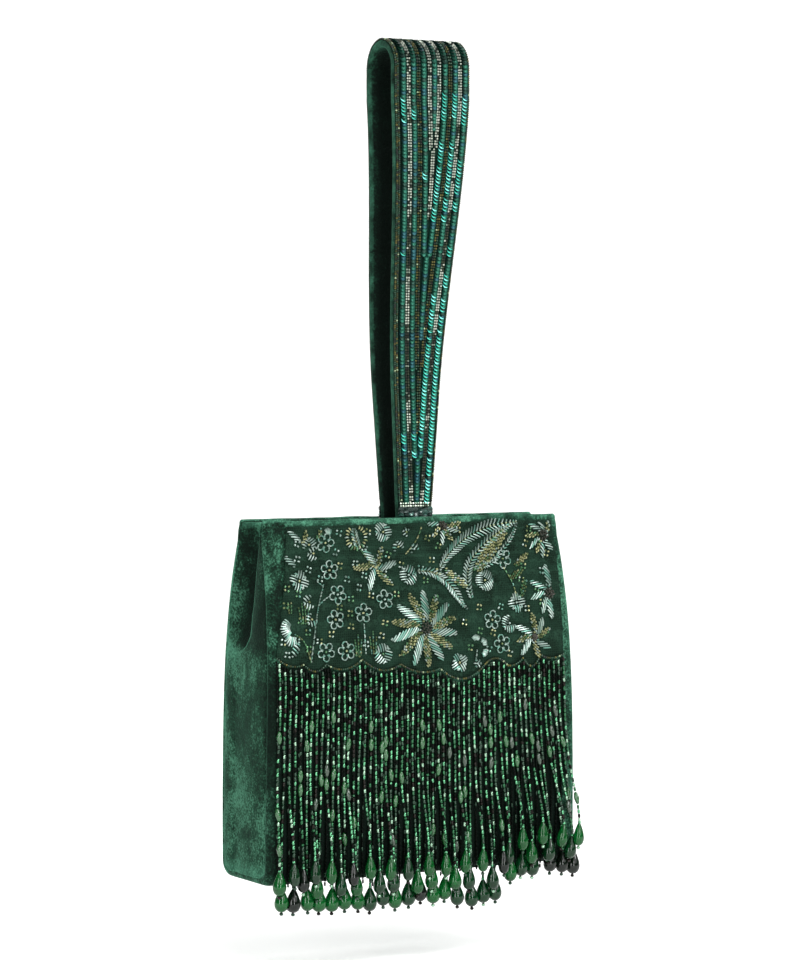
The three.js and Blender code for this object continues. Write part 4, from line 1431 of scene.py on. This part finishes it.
class Stitching:
    """Silver and gold purl and beads of one motif, sewn on the front."""

    def __init__(self, seed):
        self.rng = random.Random(seed)
        self.pile = Pile()

    def pick(self, looks):
        if isinstance(looks, int):
            return looks
        return self.rng.choices([k for k, _ in looks], [w for _, w in looks])[0]

    def wire(self, start, end, looks=SILVERS, radius=0.42):
        """One short length of purl, standing up a little in its middle."""
        (x0, z0), (x1, z1) = sewn(*start), sewn(*end)
        length = math.hypot(x1 - x0, z1 - z0)
        x, z = (x0 + x1) / 2, (z0 + z1) / 2
        turn = surface_turn(z, math.atan2(z1 - z0, x1 - x0)) * np.array([length, radius, radius * 1.2])
        self.pile.add(WIRE, turn, on_front(x, z, LIFT + self.rng.uniform(-0.08, 0.12)), self.pick(looks))

    def bead(self, x, z, looks, lift=LIFT + 0.15):
        x, z = sewn(x, z)
        turn = threaded_along(surface_turn(z, self.rng.uniform(0, 6.28)))
        self.pile.add(SMALL_BEAD, turn, on_front(x, z, lift), self.pick(looks))

    def petal(self, start, end, width, looks, slant=1.25, full=0.5):
        """A pointed petal filled with slanting lengths, widest at full along it.

        Gold ones are laid as short beads, end to end."""
        (x0, z0), (x1, z1) = start, end
        length = math.hypot(x1 - x0, z1 - z0)
        ux, uz = (x1 - x0) / length, (z1 - z0) / length
        beaded = looks in (GOLDS, GREENS)
        for k in range(int(length / PETAL_PITCH)):
            t = (k + 0.5) * PETAL_PITCH / length
            half = width / 2 * math.sin(math.pi * t ** (math.log(0.5) / math.log(full))) ** 0.7 * 0.96
            if half < 0.45:
                continue
            mx, mz = x0 + ux * length * t, z0 + uz * length * t
            dx, dz = (-uz * half + ux * half * slant), (ux * half + uz * half * slant)
            reach = max(0.6, min(1.0, (1 - abs(2 * t - 1)) * 3))
            dx, dz = dx * reach, dz * reach
            if not beaded:
                self.wire((mx - dx, mz - dz), (mx + dx, mz + dz), looks, 0.44)
                continue
            count = max(1, round(2 * math.hypot(dx, dz) / 1.7))
            for i in range(count):
                a, b = 2 * i / count - 1, 2 * (i + 0.8) / count - 1
                self.wire((mx + dx * a, mz + dz * a), (mx + dx * b, mz + dz * b), looks, 0.48)

    def fan(self, x, z, radius, facing, spread, rows=7):
        """A fan of lengths laid side by side, each row a little shorter at the edges."""
        for k in range(rows):
            a = facing + (k / (rows - 1) - 0.5) * spread
            r = radius * (1 - 0.12 * abs(k - (rows - 1) / 2) / rows * 2)
            self.wire(polar(x, z, radius * 0.32, a), polar(x, z, r, a), SILVERS, 0.46)

    def lobe(self, x, z, facing, length, width, inner):
        """A rounded lobe of lengths laid side by side."""
        rows = max(3, int(width / 1.1))
        for k in range(rows):
            across = (k / (rows - 1) - 0.5) * width
            reach = length * math.sqrt(max(0.12, 1 - (across / width * 1.7) ** 2))
            bx, bz = x - math.sin(facing) * across, z + math.cos(facing) * across
            self.wire(polar(bx, bz, inner, facing), polar(bx, bz, inner + reach, facing), SILVERS, 0.4)

    def blossom(self, x, z, radius, lobes, turn):
        """A small flower of laid lobes."""
        for k in range(lobes):
            facing = turn + 2 * math.pi * k / max(lobes, 3)
            width = radius * (1.25 if lobes < 4 else 1.0)
            self.lobe(x, z, facing, radius * 0.78, width, radius * 0.22)
        self.bead(x, z, GOLDS)

    def loops(self, x, z, turn):
        """A flower of five round loops of fine purl."""
        for k in range(5):
            a = turn + 2 * math.pi * k / 5
            cx, cz = polar(x, z, LOOP_FLOWER_RADIUS * 0.62, a)
            r = LOOP_FLOWER_RADIUS * 0.33
            for i in range(7):
                b, c = (a + math.pi + 2 * math.pi * (i + j) / 8 + 0.4 for j in (0, 1.02))
                self.wire(polar(cx, cz, r, b), polar(cx, cz, r, c), SILVERS, 0.36)
        self.bead(x, z, GOLDS)

    def dark_flower(self, x, z, petals, centre, width):
        """Petals, each (angle in degrees, length, looks), round a knot of dark beads."""
        for degrees, length, looks in petals:
            a = math.radians(degrees)
            self.petal(polar(x, z, centre * 0.9, a), polar(x, z, length, a), width, looks)
        for k in range(16):
            r = centre * math.sqrt((k + 0.3) / 16)
            self.bead(*polar(x, z, r, 2.4 * k), DARK, lift=LIFT + 0.9 * (1 - r / centre) + 0.2)

    def feather(self, points, width, spine=GOLDS):
        """Short lengths slanting from both sides of a curved line, like an ear of wheat."""
        line = curve(points, 60)
        gaps = [math.hypot(b[0] - a[0], b[1] - a[1]) for a, b in zip(line, line[1:])]
        total, walked, due = sum(gaps), 0.0, 0.0
        for (x0, z0), (x1, z1), gap in zip(line, line[1:], gaps):
            walked += gap
            if walked < due:
                continue
            due = walked + 1.45
            t = walked / total
            half = width / 2 * min(1, 2.6 * (1 - t) + 0.25, 3 * t + 0.45)
            ux, uz = (x1 - x0) / gap, (z1 - z0) / gap
            for side in (-1, 1):
                tip = x0 - side * uz * half + ux * half * 0.9, z0 + side * ux * half + uz * half * 0.9
                self.wire((x0 - side * uz * 0.25, z0 + side * ux * 0.25), tip)
        if spine:
            self.dashes(line, spine, 2)

    def dashes(self, line, looks, skip=1):
        """A dashed line of short lengths."""
        for a, b in list(zip(line, line[1:]))[::skip]:
            self.wire(a, (lerp(a[0], b[0], 0.8), lerp(a[1], b[1], 0.8)), looks, 0.36)

    def grass(self, x, z, count, height):
        """Upright dashed blades, the middle ones tallest."""
        for k in range(count):
            t = (k + 0.5) / count - 0.5
            top = height * (1 - abs(t) * 0.7)
            self.dashes(curve([(x + t * count * 1.3, z), (x + t * count * 2.1, z + top)], int(top / 1.7) + 2), GREENS)

    def cluster(self, x, z, looks):
        for k in range(4):
            self.bead(*polar(x, z, 1.6, 0.6 + 1.57 * k + self.rng.uniform(-0.3, 0.3)), looks, lift=LIFT)

    def build(self, name, *nodes):
        clothe(self.pile.build(name, PURL), "front", "silver_thread", *nodes)


# The fine bead line that edges the net.
line = Pile()
rng = random.Random(7)
x = GROUND_LEFT
while x < GROUND_RIGHT:
    z = scallop(x)
    angle = math.atan((scallop(x + 0.4) - scallop(x - 0.4)) / 0.8)
    turn = threaded_along(surface_turn(z, angle))
    line.add(SEED_BEAD, turn, on_front(x, z, 1.1), draw(rng, (4, 1, 4, 0.8, 2)))
    x += 1.35 * math.cos(angle)
clothe(line.build("scallop_beads", SEEDS), "front", "seed_beads", "scallop_bead_line")

large = Stitching("large")
petals = [(13 + 360 / 14 * k, 22.5 - 1.8 * math.cos(math.radians(13 + 360 / 14 * k - 15)), (GOLDS, SILVERS)[k % 2])
          for k in range(14)]
large.dark_flower(5.5, 137, petals, 3.6, 5.4)
large.build("large_flower_stitching", "large_flower")

upper = Stitching("upper")
upper.feather([(18, 170), (24, 178), (34, 186), (50, 192), (68, 194)], 7.5)
upper.feather([(36, 152.5), (34.5, 163), (38, 173), (47, 183), (58, 190), (67, 193.5)], 6)
upper.feather([(40, 169), (52, 172), (61, 182), (68, 193.5)], 3.4, None)
upper.petal((39, 168), (62, 190), 9.5, GOLDS, full=0.45)
upper.petal((21, 170), (34, 157), 6, GOLDS)
upper.build("upper_feather_stitching", "feather_leaf_upper")

lower = Stitching("lower")
lower.feather([(3, 168.5), (12, 167.5), (21, 162), (27, 154.5), (31, 147)], 5.5)
lower.feather([(20, 160), (27, 153), (33, 146)], 2.6, None)
lower.build("lower_feather_stitching", "feather_leaf_lower")

star = Stitching("star")
for tip, looks in (((-31.7, 182), SILVERS), ((-20, 183), GOLDS), ((-10, 173), SILVERS), ((-38.8, 172), GOLDS),
                   ((-30.8, 158.5), SILVERS), ((-14.2, 160), GOLDS)):
    star.petal((-23.6, 171.3), tip, 4.6, looks, full=0.55)
star.bead(-23.6, 171.3, GOLDS)
star.build("five_petal_stitching", "five_petal_flower")

# Flowers in dark knots: middle, petals, radius of the knot and width of a petal.
for name, x, z, petals, knot, width in (
    ("corner", 85.5, 186, [(140, 12, SILVERS), (178, 13, GOLDS), (215, 12, SILVERS), (245, 11, GOLDS),
                           (270, 13, SILVERS), (305, 11, SILVERS), (60, 9, GOLDS), (100, 8, SILVERS)], 3.2, 3.6),
    ("side", 88.5, 153.5, [(93, 17, SILVERS), (148, 15, SILVERS), (188, 14, SILVERS), (238, 13, SILVERS),
                           (268, 15, SILVERS)], 3.2, 4.2),
    ("low", 76.5, 129, [(92, 14.5, GOLDS), (55, 13, SILVERS), (20, 12, GOLDS), (322, 13, SILVERS), (278, 12, GOLDS),
                        (222, 14, SILVERS), (184, 13, GOLDS), (147, 15, SILVERS)], 2.0, 4.4),
):
    flower = Stitching(name)
    flower.dark_flower(x, z, petals, knot, width)
    flower.build(name + "_flower_stitching", name + "_flower")

left = Stitching("left")
left.fan(-78, 140, 8.6, math.radians(180), 1.5, rows=9)
left.fan(-79, 138, 8, math.radians(255), 1.1, rows=6)
left.petal((-80.5, 124), (-75, 132.5), 4.6, SILVERS, 0.2)
left.build("left_blossom_stitching", "left_blossom")

loops = Stitching("loops")
LOOP_FLOWERS = (
    (-57, 185.5), (-53.3, 170.7), (-49.6, 157.4), (-52, 143.8), (-34.3, 146.8), (-20, 153.7), (-58.9, 126.5),
    (-46.1, 126.5), (59.2, 173.5), (48.8, 139.8), (54.6, 126.1),
)
for x, z in LOOP_FLOWERS:
    loops.loops(x, z, (x * 7 + z) % 6)
loops.build("loop_flowers")

small = Stitching("small")
BLOSSOMS = (
    (-67.2, 184.8, 4.6, 2), (-63.8, 180, 4.2, 2), (-72.7, 165.5, 6, 4), (-67.6, 153.9, 4.2, 2), (-66.7, 144.5, 4, 2),
    (-20.3, 190.5, 5.6, 3), (-5.3, 190, 2.6, 2), (-10.2, 182.1, 3.8, 2), (0.3, 180.7, 3.2, 2), (-3.4, 166.5, 5.8, 3),
    (46, 162, 6.2, 3), (65.8, 148.9, 5.8, 4), (60.2, 137.5, 5.4, 2), (-23, 123.8, 6, 3), (26.3, 116.8, 5.6, 4),
    (38.2, 115.8, 2.6, 3),
)
for x, z, radius, lobes in BLOSSOMS:
    small.blossom(x, z, radius, lobes, (x + z) % 3)
for a in map(math.radians, (35, 95, 330)):
    small.fan(*polar(38, 124.5, 3, a), 4.6, a, 1.3)
small.build("small_blossoms")

sprigs = Stitching("sprigs")
for start, end, width, looks in (
    ((-72.6, 185.5), (-80, 193.5), 3.4, SILVERS), ((-72.2, 185.5), (-67.5, 193.5), 3.2, GOLDS),
    ((-74.5, 172.5), (-81, 179.5), 3.6, SILVERS), ((-63, 188.5), (-58, 193.5), 3.4, GREENS),
):
    sprigs.petal(start, end, width, looks)
sprigs.fan(-55, 188.5, 5.2, math.radians(90), 0.9)
for k in range(22):
    a = 2 * math.pi * k / 22
    inside, outside = polar(-37.4, 188, 4.8, a), polar(-37.4, 188, 6.8 + 0.6 * (k % 2), a)
    if outside[1] < GROUND_TOP - 2:
        sprigs.wire(inside, outside, GOLDS, 0.45)
sprigs.feather([(-35.5, 181.5), (-38.2, 188), (-38.8, 193)], 4.2)
sprigs.dashes(curve([(-34, 181), (-29, 176), (-25, 173)], 8), GREENS)
sprigs.dark_flower(19, 193, [(170, 10, SILVERS), (215, 10, GOLDS), (262, 11, SILVERS), (300, 11, GOLDS),
                             (338, 11, SILVERS), (5, 13, GOLDS)], 2.6, 3.6)
for points, steps, looks in (
    ([(-5, 178), (0, 184), (5, 193)], 9, GOLDS),
    ([(-68.5, 121), (-64.7, 141), (-62, 152), (-57.8, 163.5)], 24, SILVERS),
    ([(-62, 152), (-58, 155), (-54, 157)], 6, SILVERS),
    ([(-58, 162), (-62, 165)], 4, SILVERS),
    ([(-68.5, 121), (-72, 132), (-78, 137)], 11, GREENS),
    ([(-34.3, 141), (-34, 124)], 9, SILVERS),
):
    sprigs.dashes(curve(points, steps), looks)
for tuft in ((-38.5, 123.5, 3, 12), (-29, 124, 3, 13), (-71.5, 142, 4, 13), (-80, 148, 2, 8)):
    sprigs.grass(*tuft)
sprigs.petal((62, 164), (73, 166), 5, GREENS)
sprigs.petal((66, 170), (77, 176), 4.4, GOLDS)
sprigs.petal((68, 152), (74, 162), 4.2, GREENS)
sprigs.dashes(curve([(37, 118), (38, 124)], 4), SILVERS)
sprigs.dashes(curve([(59, 169), (64, 160), (66, 152)], 9), GREENS)
sprigs.build("sprigs_and_stems")

# Beads scattered in fours, clear of each other, the small flowers and the large motifs.
CLEAR = 7
scatter = Stitching("scatter")
rng = random.Random(99)
taken = [place[:2] for place in LOOP_FLOWERS + BLOSSOMS]
for _ in range(900):
    x, z = rng.uniform(GROUND_LEFT + 8, GROUND_RIGHT - 1), rng.uniform(118, 191)
    clear = min(math.hypot(x - a, z - b) for a, b in taken)
    busy = math.hypot(x - 5.5, z - 137) < 25 or (18 < x < 69 and z > 150 and x - z > -158) or (x > 66 and z < 142)
    inside = z > scallop(x - 5) + 3 and x > ground_left(z) + 6
    if inside and clear > CLEAR and not busy:
        scatter.cluster(x, z, (GOLDS, SILVERS, GREENS)[len(taken) % 3])
        taken.append((x, z))
scatter.build("bead_clusters")

boxes = {"cad": CAD_BOX, "visual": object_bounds()}
{name: [list(corner) for corner in box] for name, box in boxes.items()}
